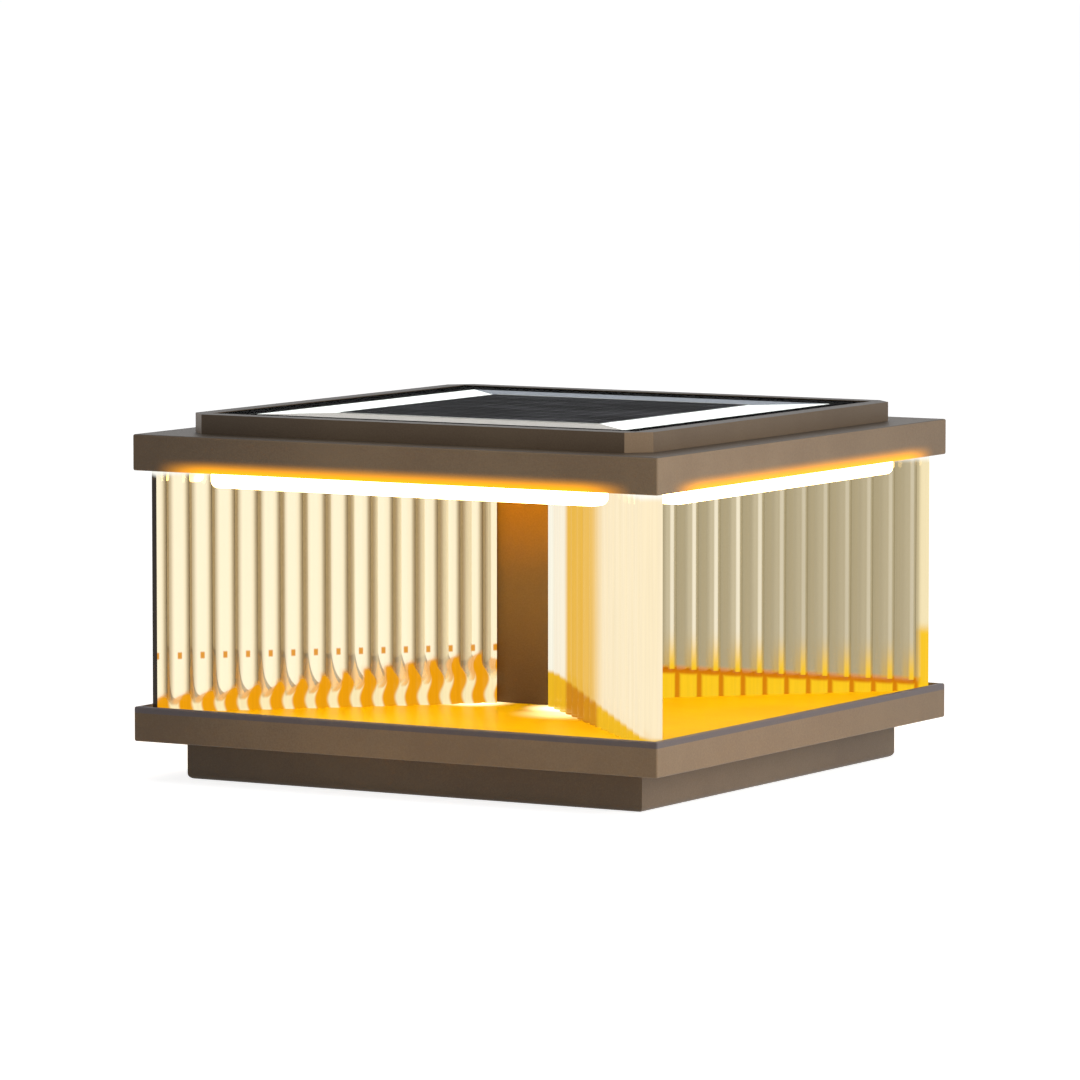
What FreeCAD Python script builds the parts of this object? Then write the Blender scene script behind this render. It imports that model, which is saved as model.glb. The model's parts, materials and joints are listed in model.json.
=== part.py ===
import FreeCAD, Part

import math
import os

# A solar deck post cap light. Millimetres, +Z up, origin at the middle of the underside.
# Sides: front is -Y, right is +X, back is +Y, left is -X. The ribbed plates stand on the two diagonals.

# Outside steps, from the ground up
lamp_width = 250.0  # cap and base flange, side to side
plinth_width = 218.0
plinth_height = 16.5
flange_height = 14.5
bay_height = 98.4  # open height between flange rim and cap
cap_height = 15.1
tray_width = 219.0
tray_height = 8.1
tray_corner_cut = 8.5  # leg of the 45 degree cut at each corner
edge_radius = 0.8  # outer edges of cap and flange

past = 1.0  # how far a cut runs past the face it opens

# Clearances
fit_clearance = 0.3  # sheet or box inside its recess
hole_clearance = 0.3  # screw shank in a plain hole, radial
thread_clearance = 0.05  # screw shank in its thread, radial
running_clearance = 0.06  # push button in its bore, radial

# Plinth and post plate
skirt_wall = 3.0
skirt_edge_radius = 2.4
skirt_ledge_width = 10.0
skirt_ledge_thickness = 2.5
post_plate_width = 196.0
post_plate_thickness = 2.5
post_tab_width = 70.0
post_tab_height = 12.0
post_hole_spacing = 150.0
post_hole_radius = 3.25
lock_screw_spacing = 44.0
lock_screw_height = 7.0
lock_screw_radius = 2.0
lock_screw_head_radius = 3.8
lock_screw_head_height = 2.4
lock_screw_end = 2.0  # how far it passes the tab
foot_gasket_width = 4.0
foot_gasket_height = 4.0
foot_gasket_gap = 1.0  # beside each tab
skirt_screw_radius = 2.0
skirt_screw_head_radius = 3.6
skirt_screw_head_height = 2.4
skirt_screw_offset = 60.0  # from the middle of its side
skirt_screw_end = 1.0  # how far it passes the flange lip

# Base flange and floor
flange_wall = 2.0
flange_lip_thickness = 2.0
flange_deck_thickness = 2.0
floor_sheet_thickness = 2.0
floor_recess = 2.4  # from the flange rim down to the floor sheet

# Column and tie rod
column_width = 31.0
column_wall = 3.2
plug_height = 12.0
plug_clearance = 0.15
tie_rod_radius = 3.0
tie_rod_end = 2.0  # thread that shows past each nut
tie_nut_flats = 10.0
tie_nut_height = 5.0
tie_washer_radius = 6.0
tie_washer_thickness = 1.6

# Ribbed plates
wing_corner_gap = 9.0  # from the cap's corner to the outer end, along the diagonal
wing_column_gap = 0.4
rib_pitch = 9.65
rib_rise = 2.5  # height of a rib above the groove beside it
wing_core = 4.4  # thickness between facing grooves
tenon_length = 28.0
tenon_places = (55.0, 130.0)  # middles, from the axis along the diagonal
tenon_depth = 1.8
tenon_flank = 0.2  # how much thinner than the core on each face
slot_clearance = 0.3
wing_pad_thickness = 0.5
wing_pad_width = 3.6

# Head
cap_wall = 2.0
cap_top_thickness = 2.0
head_opening_width = 172.0
ceiling_thickness = 2.0
cap_gasket_width = 3.5
cap_gasket_thickness = 1.5
gasket_ledge_width = 4.0
gasket_ledge_thickness = 2.0
ceiling_screw_radius = 1.5
ceiling_screw_head_radius = 2.8
ceiling_screw_head_height = 1.3
ceiling_screw_length = 8.0
ceiling_screw_inset = 10.0  # from the cap's near side
ceiling_screw_corner = 25.0  # from the cap's far side
boss_radius = 3.4
boss_hole_extra = 1.0  # thread depth past the screw's end

# Tray and panel
tray_wall = 2.2
tray_shelf_thickness = 1.6
glass_width = 202.0
glass_thickness = 2.5
glass_recess = 0.3  # glass below the tray's rim
seal_width = 10.0
seal_thickness = 0.6
cell_board_width = 176.0
cell_board_thickness = 1.2
cell_width = 125.0
cell_strips = 12
cell_gap = 0.4
cell_thickness = 0.3
ribbon_width = 2.5
ribbon_thickness = 0.15
ribbon_gap = 0.8
shelf_gap = 1.0  # between cell board and tray shelf
tray_screw_radius = 1.5
tray_screw_head_radius = 2.8
tray_screw_head_height = 2.2
tray_screw_reach = 98.0
tray_screw_offset = 40.0
junction_length = 30.0
junction_width = 28.0
junction_height = 7.0
junction_x = -70.0

# Light bars
bar_length = 185.0
bar_width = 12.0
bar_inset = 7.5  # from the cap's outer face to the diffuser
bar_drop = 6.5  # diffuser below the cap's lower edge
diffuser_wall = 1.4
diffuser_radius = 3.0
strip_end_gap = 1.5
strip_thickness = 2.0
led_board_thickness = 1.0
led_board_margin = 0.5
led_size = 3.5
led_height = 0.7
led_pitch = 15.0
led_screw_radius = 1.25
led_screw_head_radius = 2.4
led_screw_head_height = 1.4
led_screw_place = 60.0
lead_hole_radius = 2.4

# Push switch
switch_y = 75.0
switch_bezel_radius = 9.0
switch_bezel_height = 2.0
switch_barrel_radius = 7.0
switch_cap_thickness = 1.5
switch_nut_flats = 17.0
switch_nut_height = 4.0
button_radius = 4.5
button_stand_out = 2.0  # beyond the bezel at rest
button_travel = 1.5
button_collar_radius = 5.3
button_collar_height = 1.6
chamber_radius = 5.6
spring_radius = 3.6
spring_wire_radius = 0.35
spring_turns = 4
spring_turn_points = 12  # places that fix the coil's curve in each turn
spring_room = 4.3  # height left for the coils with the button pressed

# Cells and controller
cell_radius = 7.1
cell_length = 50.5
cell_nub_radius = 2.7
cell_nub_length = 1.2
battery_count = 3
battery_pitch = 15.2
battery_y = -60.0
holder_wall = 2.0
holder_floor = 1.2
holder_height = 12.0
contact_thickness = 0.5
contact_space = 1.3
contact_radius = 3.0
contact_width = 10.0
board_x = 70.0
board_length = 36.0
board_width = 56.0
board_thickness = 1.6
board_post_height = 4.0
board_post_radius = 2.5
board_post_inset = 3.5
board_screw_radius = 1.4
board_screw_head_radius = 2.6
board_screw_head_height = 1.5
plug_block_depth = 7.0
plug_block_height = 5.0
plug_block_width = 6.0
plug_block_inset = 1.0  # entry face behind the board's edge
chip_size = 9.0
chip_height = 1.4
coil_radius = 4.5
coil_height = 5.0
capacitor_radius = 3.0
capacitor_height = 8.0
coil_place = (2.0, 13.0)  # from the board's middle
capacitor_places = ((-7.5, -4.0), (5.0, -12.0))
inner_entry = 11.5  # connectors on the board's near edge, either side of its middle
outer_entry = 18.2
switch_entry = 2.0  # switch connector, from the board's middle

# Leads
lead_radius = 0.8
lead_spacing = 2.2
lead_bend = 2.5
lead_rise = 4.4  # crossing leads above the connectors' middles
lead_run = 8.0  # length of a lead's slanting drop to its connector
lead_floor_gap = 4.0  # low leads above the ceiling plate
battery_lead_x = 15.0

# Levels worked out from the sizes above
half_width = lamp_width / 2
plinth_half = plinth_width / 2
skirt_inner = plinth_half - skirt_wall
ledge_inner = skirt_inner - skirt_ledge_width
ledge_bottom = plinth_height - skirt_ledge_thickness
flange_top = plinth_height + flange_height
floor_top = flange_top - floor_recess
deck_top = floor_top - floor_sheet_thickness
deck_bottom = deck_top - flange_deck_thickness
cap_bottom = flange_top + bay_height
cap_top = cap_bottom + cap_height
tray_top = cap_top + tray_height
ceiling_bottom = cap_bottom + wing_pad_thickness
ceiling_top = ceiling_bottom + ceiling_thickness
cap_inner = half_width - cap_wall
ceiling_half = cap_inner - fit_clearance
tab_outer = skirt_inner - fit_clearance
column_half = column_width / 2
column_bore = column_half - column_wall
wing_reach = half_width * math.sqrt(2) - wing_corner_gap
wing_start = column_half * math.sqrt(2) + wing_column_gap
groove_half = wing_core / 2
tenon_half = groove_half - tenon_flank
glass_half = glass_width / 2
glass_top = tray_top - glass_recess
glass_bottom = glass_top - glass_thickness
shelf_top = glass_bottom - seal_thickness
shelf_bottom = shelf_top - tray_shelf_thickness
cell_bottom = glass_bottom - cell_thickness
board_bottom = cell_bottom - cell_board_thickness
shelf_inner = cell_board_width / 2 + shelf_gap
opening_half = head_opening_width / 2
skirt_screw_reach = (skirt_inner + ledge_inner) / 2
bar_bottom = cap_bottom - bar_drop
bar_outer = half_width - bar_inset
bar_inner = bar_outer - bar_width
bar_middle = (bar_outer + bar_inner) / 2
strip_bottom = ceiling_bottom - strip_thickness
led_board_bottom = strip_bottom - led_board_thickness
controller_bottom = ceiling_top + board_post_height
controller_top = controller_bottom + board_thickness
connector_level = controller_top + plug_block_height / 2
lead_level = connector_level + lead_rise
button_face = ceiling_bottom - switch_bezel_height - button_stand_out
chamber_bottom = ceiling_top - ceiling_thickness / 2
collar_top = chamber_bottom + running_clearance + button_collar_height
chamber_top = collar_top + button_travel + spring_room
barrel_top = chamber_top + switch_cap_thickness
battery_level = ceiling_top + holder_floor + cell_radius

sides = {"front": 0, "right": 1, "back": 2, "left": 3}
corners = {"front_left": -135, "front_right": -45, "back_right": 45, "back_left": 135}
# Where each bar's leads rise, along the bar from its middle
lead_places = {"front": 70.0, "right": 0.0, "back": -48.0, "left": 20.0}


def point(x, y, z):
    return FreeCAD.Vector(x, y, z)


def block(low_x, high_x, low_y, high_y, low_z, high_z):
    return Part.makeBox(high_x - low_x, high_y - low_y, high_z - low_z, point(low_x, low_y, low_z))


def slab(half, low_z, high_z):
    return block(-half, half, -half, half, low_z, high_z)


def frame_ring(outer, inner, low_z, high_z):
    return slab(outer, low_z, high_z).cut(slab(inner, low_z - past, high_z + past))


def post(x, y, radius, low_z, high_z):
    return Part.makeCylinder(radius, high_z - low_z, point(x, y, low_z))


def group(solids):
    return Part.makeCompound(solids)


def joined(shapes):
    return shapes[0].multiFuse(shapes[1:]).removeSplitter()


def without(shape, tools):
    return shape.cut(group(tools))


def turned(shape, degrees):
    copy = shape.copy()
    copy.rotate(point(0, 0, 0), point(0, 0, 1), degrees)
    return copy


def four_sides(shape):
    return [turned(shape, 90 * count) for count in range(4)]


def hexagon(flats, low_z, high_z, x=0, y=0):
    corner = flats / math.sqrt(3)
    angles = [math.radians(60 * count) for count in range(7)]
    ring = [point(x + corner * math.cos(a), y + corner * math.sin(a), low_z) for a in angles]
    return Part.Face(Part.makePolygon(ring)).extrude(point(0, 0, high_z - low_z))


def cut_square(half, corner_cut, low_z, high_z):
    """A square slab whose four upright corners are cut at 45 degrees."""
    near = half - corner_cut
    ring = [(half, -near), (half, near), (near, half), (-near, half)]
    ring += [(-x, -y) for x, y in ring]
    outline = [point(x, y, low_z) for x, y in ring + ring[:1]]
    return Part.Face(Part.makePolygon(outline)).extrude(point(0, 0, high_z - low_z))


def side_places(reach, offset):
    """Two places on each side, offset from the side's middle."""
    first = [(reach, offset), (reach, -offset)]
    ring = []
    for count in range(4):
        ring += first
        first = [(-y, x) for x, y in first]
    return ring


def save(name, shape):
    for solid in shape.Solids:
        if not solid.isValid() or solid.Volume <= 0:
            print("check", name)
    shape.exportStep(os.path.join("parts", name + ".step"))
    print(name, len(shape.Solids), "solids", round(shape.Volume), "mm3")


# Post plate, plinth and flange


def post_plate():
    tab_inner = tab_outer - post_plate_thickness
    foot = block(0, tab_outer, -post_tab_width / 2, post_tab_width / 2, 0, post_plate_thickness)
    upright = block(tab_inner, tab_outer, -post_tab_width / 2, post_tab_width / 2, 0, post_tab_height)
    plate = slab(post_plate_width / 2, 0, post_plate_thickness)
    plate = joined([plate] + four_sides(foot) + four_sides(upright))
    spread = post_hole_spacing / 2
    holes = [post(x, y, post_hole_radius, -past, post_plate_thickness + past)
             for x in (-spread, spread) for y in (-spread, spread)]
    return without(plate, holes + lock_shanks(thread_clearance))


def lock_shanks(extra, head=False):
    """Lock screws in the back and left faces, or their holes where extra is a clearance."""
    inner = tab_outer - post_plate_thickness - lock_screw_end
    screws = []
    for along in (-lock_screw_spacing / 2, lock_screw_spacing / 2):
        shank = Part.makeCylinder(lock_screw_radius + extra, plinth_half - inner,
                                  point(inner, along, lock_screw_height), point(1, 0, 0))
        if head:
            cap = Part.makeCylinder(lock_screw_head_radius, lock_screw_head_height,
                                    point(plinth_half, along, lock_screw_height), point(1, 0, 0))
            shank = joined([shank, cap])
        screws += [turned(shank, 90), turned(shank, 180)]
    return screws


def foot_gasket():
    ring = frame_ring(tab_outer, tab_outer - foot_gasket_width, 0, foot_gasket_height)
    half_gap = post_tab_width / 2 + foot_gasket_gap
    gap = block(0, half_width, -half_gap, half_gap, -past, foot_gasket_height + past)
    return without(ring, four_sides(gap))


def plinth_skirt():
    body = slab(plinth_half, 0, plinth_height)
    low_edges = [e for e in body.Edges if e.BoundBox.ZMax < plinth_height / 2]
    body = body.makeFillet(skirt_edge_radius, low_edges)
    hollow = slab(skirt_inner, -past, ledge_bottom)
    mouth = slab(ledge_inner, -past, plinth_height + past)
    radius = skirt_screw_radius + hole_clearance
    holes = [post(x, y, radius, ledge_bottom - past, plinth_height + past)
             for x, y in side_places(skirt_screw_reach, skirt_screw_offset)]
    return without(body, [hollow, mouth] + holes + lock_shanks(hole_clearance))


def skirt_screws():
    lip_top = plinth_height + flange_lip_thickness
    screws = []
    for x, y in side_places(skirt_screw_reach, skirt_screw_offset):
        head = post(x, y, skirt_screw_head_radius, ledge_bottom - skirt_screw_head_height, ledge_bottom)
        shank = post(x, y, skirt_screw_radius, ledge_bottom, lip_top + skirt_screw_end)
        screws.append(joined([head, shank]))
    return group(screws)


def base_flange():
    body = slab(half_width, plinth_height, flange_top)
    body = body.makeFillet(edge_radius, body.Edges)
    inner = half_width - flange_wall
    lip_top = plinth_height + flange_lip_thickness
    tools = [slab(inner, deck_top, flange_top + past), slab(inner, lip_top, deck_bottom),
             slab(ledge_inner, plinth_height - past, lip_top + past)]
    tools.append(post(0, 0, tie_rod_radius + hole_clearance, deck_bottom - past, deck_top + past))
    tools += [post(x, y, skirt_screw_radius + thread_clearance, plinth_height - past, lip_top + past)
              for x, y in side_places(skirt_screw_reach, skirt_screw_offset)]
    return without(body, tools)


def tenon_slots(low_z, high_z):
    half_length = tenon_length / 2 + slot_clearance
    half_slot = tenon_half + slot_clearance
    slots = []
    for degrees in corners.values():
        for middle in tenon_places:
            slot = block(middle - half_length, middle + half_length, -half_slot, half_slot, low_z, high_z)
            slots.append(turned(slot, degrees))
    return slots


def floor_sheet():
    body = slab(half_width - flange_wall - fit_clearance, deck_top, floor_top)
    rod_hole = post(0, 0, tie_rod_radius + hole_clearance, deck_top - past, floor_top + past)
    return without(body, [rod_hole] + tenon_slots(deck_top - past, floor_top + past))


# Column and tie rod


def column_tube():
    return frame_ring(column_half, column_bore, floor_top, ceiling_bottom)


def column_plug(low_z):
    body = slab(column_bore - plug_clearance, low_z, low_z + plug_height)
    return body.cut(post(0, 0, tie_rod_radius + hole_clearance, low_z - past, low_z + plug_height + past))


def tie_rod():
    stack = tie_washer_thickness + tie_nut_height + tie_rod_end
    return post(0, 0, tie_rod_radius, deck_bottom - stack, ceiling_top + stack)


def tie_washers():
    washers = []
    for low in (deck_bottom - tie_washer_thickness, ceiling_top):
        high = low + tie_washer_thickness
        bore = post(0, 0, tie_rod_radius + hole_clearance, low - past, high + past)
        washers.append(post(0, 0, tie_washer_radius, low, high).cut(bore))
    return group(washers)


def tie_nuts():
    nuts = []
    for low in (deck_bottom - tie_washer_thickness - tie_nut_height, ceiling_top + tie_washer_thickness):
        high = low + tie_nut_height
        bore = post(0, 0, tie_rod_radius + thread_clearance, low - past, high + past)
        nuts.append(hexagon(tie_nut_flats, low, high).cut(bore))
    return group(nuts)


# Ribbed plates


def ribbed_outline(low_z):
    """Closed outline along +X: one arc per rib on each face. The outer end is cut at a rib's crest."""
    grooves = [wing_reach + rib_pitch / 2]
    while grooves[-1] > wing_start:
        grooves.append(grooves[-1] - rib_pitch)
    edges = []
    for face in (1, -1):
        for high, low in zip(grooves, grooves[1:]):
            crest = point((high + low) / 2, face * (groove_half + rib_rise), low_z)
            start, end = (point(x, face * groove_half, low_z) for x in (high, low))
            edges.append(Part.Arc(start, crest, end).toShape())
    for end in (grooves[0], grooves[-1]):
        edges.append(Part.makeLine(point(end, groove_half, low_z), point(end, -groove_half, low_z)))
    return Part.Wire(Part.__sortEdges__(edges))


def ribbed_wing(degrees):
    height = cap_bottom - floor_top
    plate = Part.Face(ribbed_outline(floor_top)).extrude(point(0, 0, height))
    thick = groove_half + rib_rise + past
    plate = plate.common(block(wing_start, wing_reach, -thick, thick, floor_top, cap_bottom))
    half = tenon_length / 2
    tenons = []
    for middle in tenon_places:
        low_x, high_x = middle - half, middle + half
        for low_z, high_z in ((floor_top - tenon_depth, floor_top),
                              (cap_bottom, ceiling_bottom + tenon_depth)):
            tenons.append(block(low_x, high_x, -tenon_half, tenon_half, low_z, high_z))
    return turned(joined([plate] + tenons), degrees)


def wing_pads():
    """Soft strips between the plates' tops and the ceiling, parted at the tenons."""
    half = wing_pad_width / 2
    breaks = [wing_start + slot_clearance]
    for middle in tenon_places:
        breaks += [middle - tenon_length / 2 - slot_clearance, middle + tenon_length / 2 + slot_clearance]
    breaks.append(wing_reach - slot_clearance)
    strips = []
    for degrees in corners.values():
        for low, high in zip(breaks[::2], breaks[1::2]):
            strips.append(turned(block(low, high, -half, half, cap_bottom, ceiling_bottom), degrees))
    return group(strips)


# Head


def ceiling_screw_places():
    return side_places(half_width - ceiling_screw_inset, half_width - ceiling_screw_corner)


def ceiling_plate():
    body = slab(ceiling_half, ceiling_bottom, ceiling_top)
    low, high = ceiling_bottom - past, ceiling_top + 1
    tools = [post(0, 0, tie_rod_radius + hole_clearance, low, high)]
    tools.append(post(0, switch_y, switch_barrel_radius + hole_clearance, low, high))
    tools += [countersunk(x, y, hole_clearance, low) for x, y in ceiling_screw_places()]
    for name, count in sides.items():
        tools.append(turned(post(lead_places[name], -bar_middle, lead_hole_radius, low, high), 90 * count))
        for along in (-led_screw_place, led_screw_place):
            hole = post(along, -bar_middle, led_screw_radius + hole_clearance, low, high)
            tools.append(turned(hole, 90 * count))
    return without(body, tools + tenon_slots(low, high))


def countersunk(x, y, extra, low_z):
    """A countersunk screw flush with the ceiling's underside, or its hole where extra is a clearance."""
    head = Part.makeCone(ceiling_screw_head_radius + extra, ceiling_screw_radius + extra,
                         ceiling_screw_head_height, point(x, y, ceiling_bottom))
    shank = post(x, y, ceiling_screw_radius + extra, low_z, ceiling_bottom + ceiling_screw_length)
    return joined([head, shank])


def ceiling_screws():
    return group([countersunk(x, y, 0, ceiling_bottom) for x, y in ceiling_screw_places()])


def cap_gasket():
    return frame_ring(ceiling_half, ceiling_half - cap_gasket_width, ceiling_top,
                      ceiling_top + cap_gasket_thickness)


def cap_shell():
    body = slab(half_width, cap_bottom, cap_top)
    body = body.makeFillet(edge_radius, body.Edges)
    top_plate = cap_top - cap_top_thickness
    body = body.cut(slab(cap_inner, cap_bottom - past, top_plate))
    ledge_low = ceiling_top + cap_gasket_thickness
    ledge = frame_ring(cap_inner + cap_wall / 2, cap_inner - gasket_ledge_width, ledge_low,
                       ledge_low + gasket_ledge_thickness)
    bosses = [post(x, y, boss_radius, ceiling_top, top_plate) for x, y in ceiling_screw_places()]
    body = joined([body, ledge] + bosses)
    tools = [slab(opening_half, top_plate - past, cap_top + past)]
    depth = ceiling_bottom + ceiling_screw_length + boss_hole_extra
    radius = ceiling_screw_radius + thread_clearance
    tools += [post(x, y, radius, ceiling_top - past, depth) for x, y in ceiling_screw_places()]
    tools += [post(x, y, tray_screw_radius + hole_clearance, top_plate - past, cap_top + past)
              for x, y in side_places(tray_screw_reach, tray_screw_offset)]
    return without(body, tools)


# Tray and solar panel


def tray_frame():
    outer = tray_width / 2
    body = cut_square(outer, tray_corner_cut, cap_top, tray_top)
    inner_cut = tray_corner_cut - tray_wall * (2 - math.sqrt(2))
    hollow = cut_square(outer - tray_wall, inner_cut, cap_top - past, shelf_bottom)
    recess = slab(glass_half + fit_clearance, shelf_top, tray_top + past)
    window = slab(shelf_inner, cap_top - past, tray_top + past)
    places = side_places(tray_screw_reach, tray_screw_offset)
    body = without(body, [hollow, recess, window])
    body = joined([body] + [post(x, y, boss_radius, cap_top, shelf_bottom) for x, y in places])
    radius = tray_screw_radius + thread_clearance
    return without(body, [post(x, y, radius, cap_top - past, shelf_bottom) for x, y in places])


def tray_screws():
    head_top = cap_top - cap_top_thickness
    screws = []
    for x, y in side_places(tray_screw_reach, tray_screw_offset):
        head = post(x, y, tray_screw_head_radius, head_top - tray_screw_head_height, head_top)
        screws.append(joined([head, post(x, y, tray_screw_radius, head_top, shelf_bottom)]))
    return group(screws)


def panel_seal():
    return frame_ring(glass_half, glass_half - seal_width, shelf_top, glass_bottom)


def solar_cells():
    """One square cell cut into strips that lie side by side under the glass."""
    half = cell_width / 2
    width = (cell_width - cell_gap * (cell_strips - 1)) / cell_strips
    strips = []
    for count in range(cell_strips):
        low = -half + count * (width + cell_gap)
        strips.append(block(low, low + width, -half, half, cell_bottom, glass_bottom))
    return group(strips)


def cell_ribbons():
    half = cell_width / 2
    low = half + ribbon_gap
    ribbon = block(-half, half, low, low + ribbon_width, cell_bottom, cell_bottom + ribbon_thickness)
    return group([ribbon, turned(ribbon, 180)])


def junction_box():
    half = junction_width / 2
    low_x = junction_x - junction_length / 2
    return block(low_x, low_x + junction_length, -half, half, board_bottom - junction_height, board_bottom)


# Light bars, built under the front edge and turned to each side


def strip_holes(name, low_z, high_z, radius_screw):
    holes = [post(lead_places[name], -bar_middle, lead_hole_radius, low_z, high_z)]
    holes += [post(along, -bar_middle, radius_screw, low_z, high_z)
              for along in (-led_screw_place, led_screw_place)]
    return holes


def led_strip(name):
    half = bar_length / 2 - diffuser_wall - strip_end_gap
    inner = bar_inner + diffuser_wall + fit_clearance
    outer = bar_outer - diffuser_wall - fit_clearance
    body = block(-half, half, -outer, -inner, strip_bottom, ceiling_bottom)
    radius = led_screw_radius + thread_clearance
    holes = strip_holes(name, strip_bottom - past, ceiling_bottom + past, radius)
    return turned(without(body, holes), 90 * sides[name])


def led_board(name):
    half = bar_length / 2 - diffuser_wall - strip_end_gap
    reach = diffuser_wall + fit_clearance + led_board_margin
    body = block(-half, half, reach - bar_outer, -bar_inner - reach, led_board_bottom, strip_bottom)
    return turned(body, 90 * sides[name])


def led_chips():
    count = int((bar_length - 2 * diffuser_wall - led_pitch) / led_pitch)
    start = -led_pitch * (count - 1) / 2
    half = led_size / 2
    chips = []
    for step in range(count):
        x = start + step * led_pitch
        chips.append(block(x - half, x + half, -bar_middle - half, -bar_middle + half,
                           led_board_bottom - led_height, led_board_bottom))
    return group([turned(chip, 90 * turn) for turn in range(4) for chip in chips])


def led_diffuser(name):
    half = bar_length / 2
    body = block(-half, half, -bar_outer, -bar_inner, bar_bottom, ceiling_bottom)
    rounded = [e for e in body.Edges if e.BoundBox.ZMin < ceiling_bottom - past]
    body = body.makeFillet(diffuser_radius, rounded)
    wall = diffuser_wall
    hollow = block(wall - half, half - wall, wall - bar_outer, -bar_inner - wall,
                   bar_bottom + wall, ceiling_bottom + past)
    return turned(body.cut(hollow), 90 * sides[name])


def led_screws():
    screws = []
    head_top = ceiling_top + led_screw_head_height
    for along in (-led_screw_place, led_screw_place):
        head = post(along, -bar_middle, led_screw_head_radius, ceiling_top, head_top)
        shank = post(along, -bar_middle, led_screw_radius, strip_bottom, ceiling_top)
        screws += four_sides(joined([head, shank]))
    return group(screws)


# Push switch in the ceiling, behind the column


def switch_body():
    bezel = post(0, switch_y, switch_bezel_radius, ceiling_bottom - switch_bezel_height, ceiling_bottom)
    barrel = post(0, switch_y, switch_barrel_radius, ceiling_bottom, barrel_top)
    bore = post(0, switch_y, button_radius + running_clearance,
                ceiling_bottom - switch_bezel_height - past, chamber_bottom + past)
    chamber = post(0, switch_y, chamber_radius, chamber_bottom, chamber_top)
    return without(joined([bezel, barrel]), [bore, chamber])


def switch_nut():
    high = ceiling_top + switch_nut_height
    bore = post(0, switch_y, switch_barrel_radius + thread_clearance, ceiling_top - past, high + past)
    return hexagon(switch_nut_flats, ceiling_top, high, 0, switch_y).cut(bore)


def switch_button():
    collar_low = chamber_bottom + running_clearance
    stem = post(0, switch_y, button_radius, button_face, collar_low)
    return joined([stem, post(0, switch_y, button_collar_radius, collar_low, collar_top)])


def switch_spring():
    low = collar_top + spring_wire_radius + running_clearance
    high = chamber_top - spring_wire_radius - running_clearance
    count = spring_turns * spring_turn_points
    places = []
    for step in range(count + 1):
        angle = 2 * math.pi * step / spring_turn_points
        places.append(point(spring_radius * math.cos(angle), switch_y + spring_radius * math.sin(angle),
                            low + (high - low) * step / count))
    helix = Part.BSplineCurve()
    helix.interpolate(places)
    circle = Part.makeCircle(spring_wire_radius, places[0], helix.tangent(helix.FirstParameter)[0])
    coil = Part.Wire([helix.toShape()]).makePipeShell([Part.Wire([circle])], True, True)
    return coil


# Cells and controller


def holder_reach():
    return cell_length / 2 + contact_space


def battery_rows():
    first = battery_y - battery_pitch * (battery_count - 1) / 2
    return [first + battery_pitch * count for count in range(battery_count)]


def battery_holder():
    rows = battery_rows()
    low_y = rows[0] - cell_radius - fit_clearance
    high_y = rows[-1] + cell_radius + fit_clearance
    reach = holder_reach()
    wall = holder_wall
    body = block(-reach - wall, reach + wall, low_y - wall, high_y + wall, ceiling_top,
                 ceiling_top + holder_height)
    return body.cut(block(-reach, reach, low_y, high_y, ceiling_top + holder_floor, cap_top))


def battery_cells():
    cells = []
    for count, y in enumerate(battery_rows()):
        can = Part.makeCylinder(cell_radius, cell_length - cell_nub_length,
                                point(-cell_length / 2, y, battery_level), point(1, 0, 0))
        nub = Part.makeCylinder(cell_nub_radius, cell_nub_length,
                                point(cell_length / 2 - cell_nub_length, y, battery_level), point(1, 0, 0))
        cell = joined([can, nub])
        if count % 2:
            cell.rotate(point(0, y, battery_level), point(0, 0, 1), 180)
        cells.append(cell)
    return group(cells)


def battery_contacts():
    reach = holder_reach()
    half = contact_width / 2
    contacts = []
    for y in battery_rows():
        for end in (1, -1):
            low, high = sorted((end * (reach - contact_thickness), end * reach))
            plate = block(low, high, y - half, y + half, battery_level - half, battery_level + half)
            dome = Part.makeCylinder(contact_radius, contact_space - contact_thickness,
                                     point(end * cell_length / 2, y, battery_level), point(end, 0, 0))
            contacts.append(joined([plate, dome]))
    return group(contacts)


def board_post_places():
    reach_x = board_length / 2 - board_post_inset
    reach_y = board_width / 2 - board_post_inset
    return [(board_x + x, y) for x in (-reach_x, reach_x) for y in (-reach_y, reach_y)]


def controller_board():
    half = board_width / 2
    body = block(board_x - board_length / 2, board_x + board_length / 2, -half, half,
                 controller_bottom, controller_top)
    radius = board_screw_radius + hole_clearance
    return without(body, [post(x, y, radius, controller_bottom - past, controller_top + past)
                          for x, y in board_post_places()])


def board_posts():
    posts = []
    head_top = controller_top + board_screw_head_height
    for x, y in board_post_places():
        foot = post(x, y, board_post_radius, ceiling_top, controller_bottom)
        shank = post(x, y, board_screw_radius, controller_bottom, controller_top)
        head = post(x, y, board_screw_head_radius, controller_top, head_top)
        posts.append(joined([foot, shank, head]))
    return group(posts)


def plug_block(x, y, turned_in):
    """A lead connector on the board. Its entry face is at x or, where turned_in, at y."""
    depth, half = plug_block_depth, plug_block_width / 2
    high = controller_top + plug_block_height
    if turned_in:
        low_y, high_y = sorted((y, y - math.copysign(depth, y)))
        return block(x - half, x + half, low_y, high_y, controller_top, high)
    low_x, high_x = sorted((x, x + math.copysign(depth, board_x - x)))
    return block(low_x, high_x, y - half, y + half, controller_top, high)


# Entry points of the leads on the board, as x and y of the middle of each pair
board_low_x = board_x - board_length / 2 + plug_block_inset
board_high_x = board_x + board_length / 2 - plug_block_inset
board_edge_y = board_width / 2 - plug_block_inset
entries = {
    "panel": (board_low_x, inner_entry),
    "battery": (board_low_x, -inner_entry),
    "led_left": (board_low_x, -outer_entry),
    "led_back": (board_low_x, outer_entry),
    "led_right": (board_high_x, 0.0),
    "led_front": (lead_places["front"], -board_edge_y),
    "switch": (board_x - switch_entry, board_edge_y),
}


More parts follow.
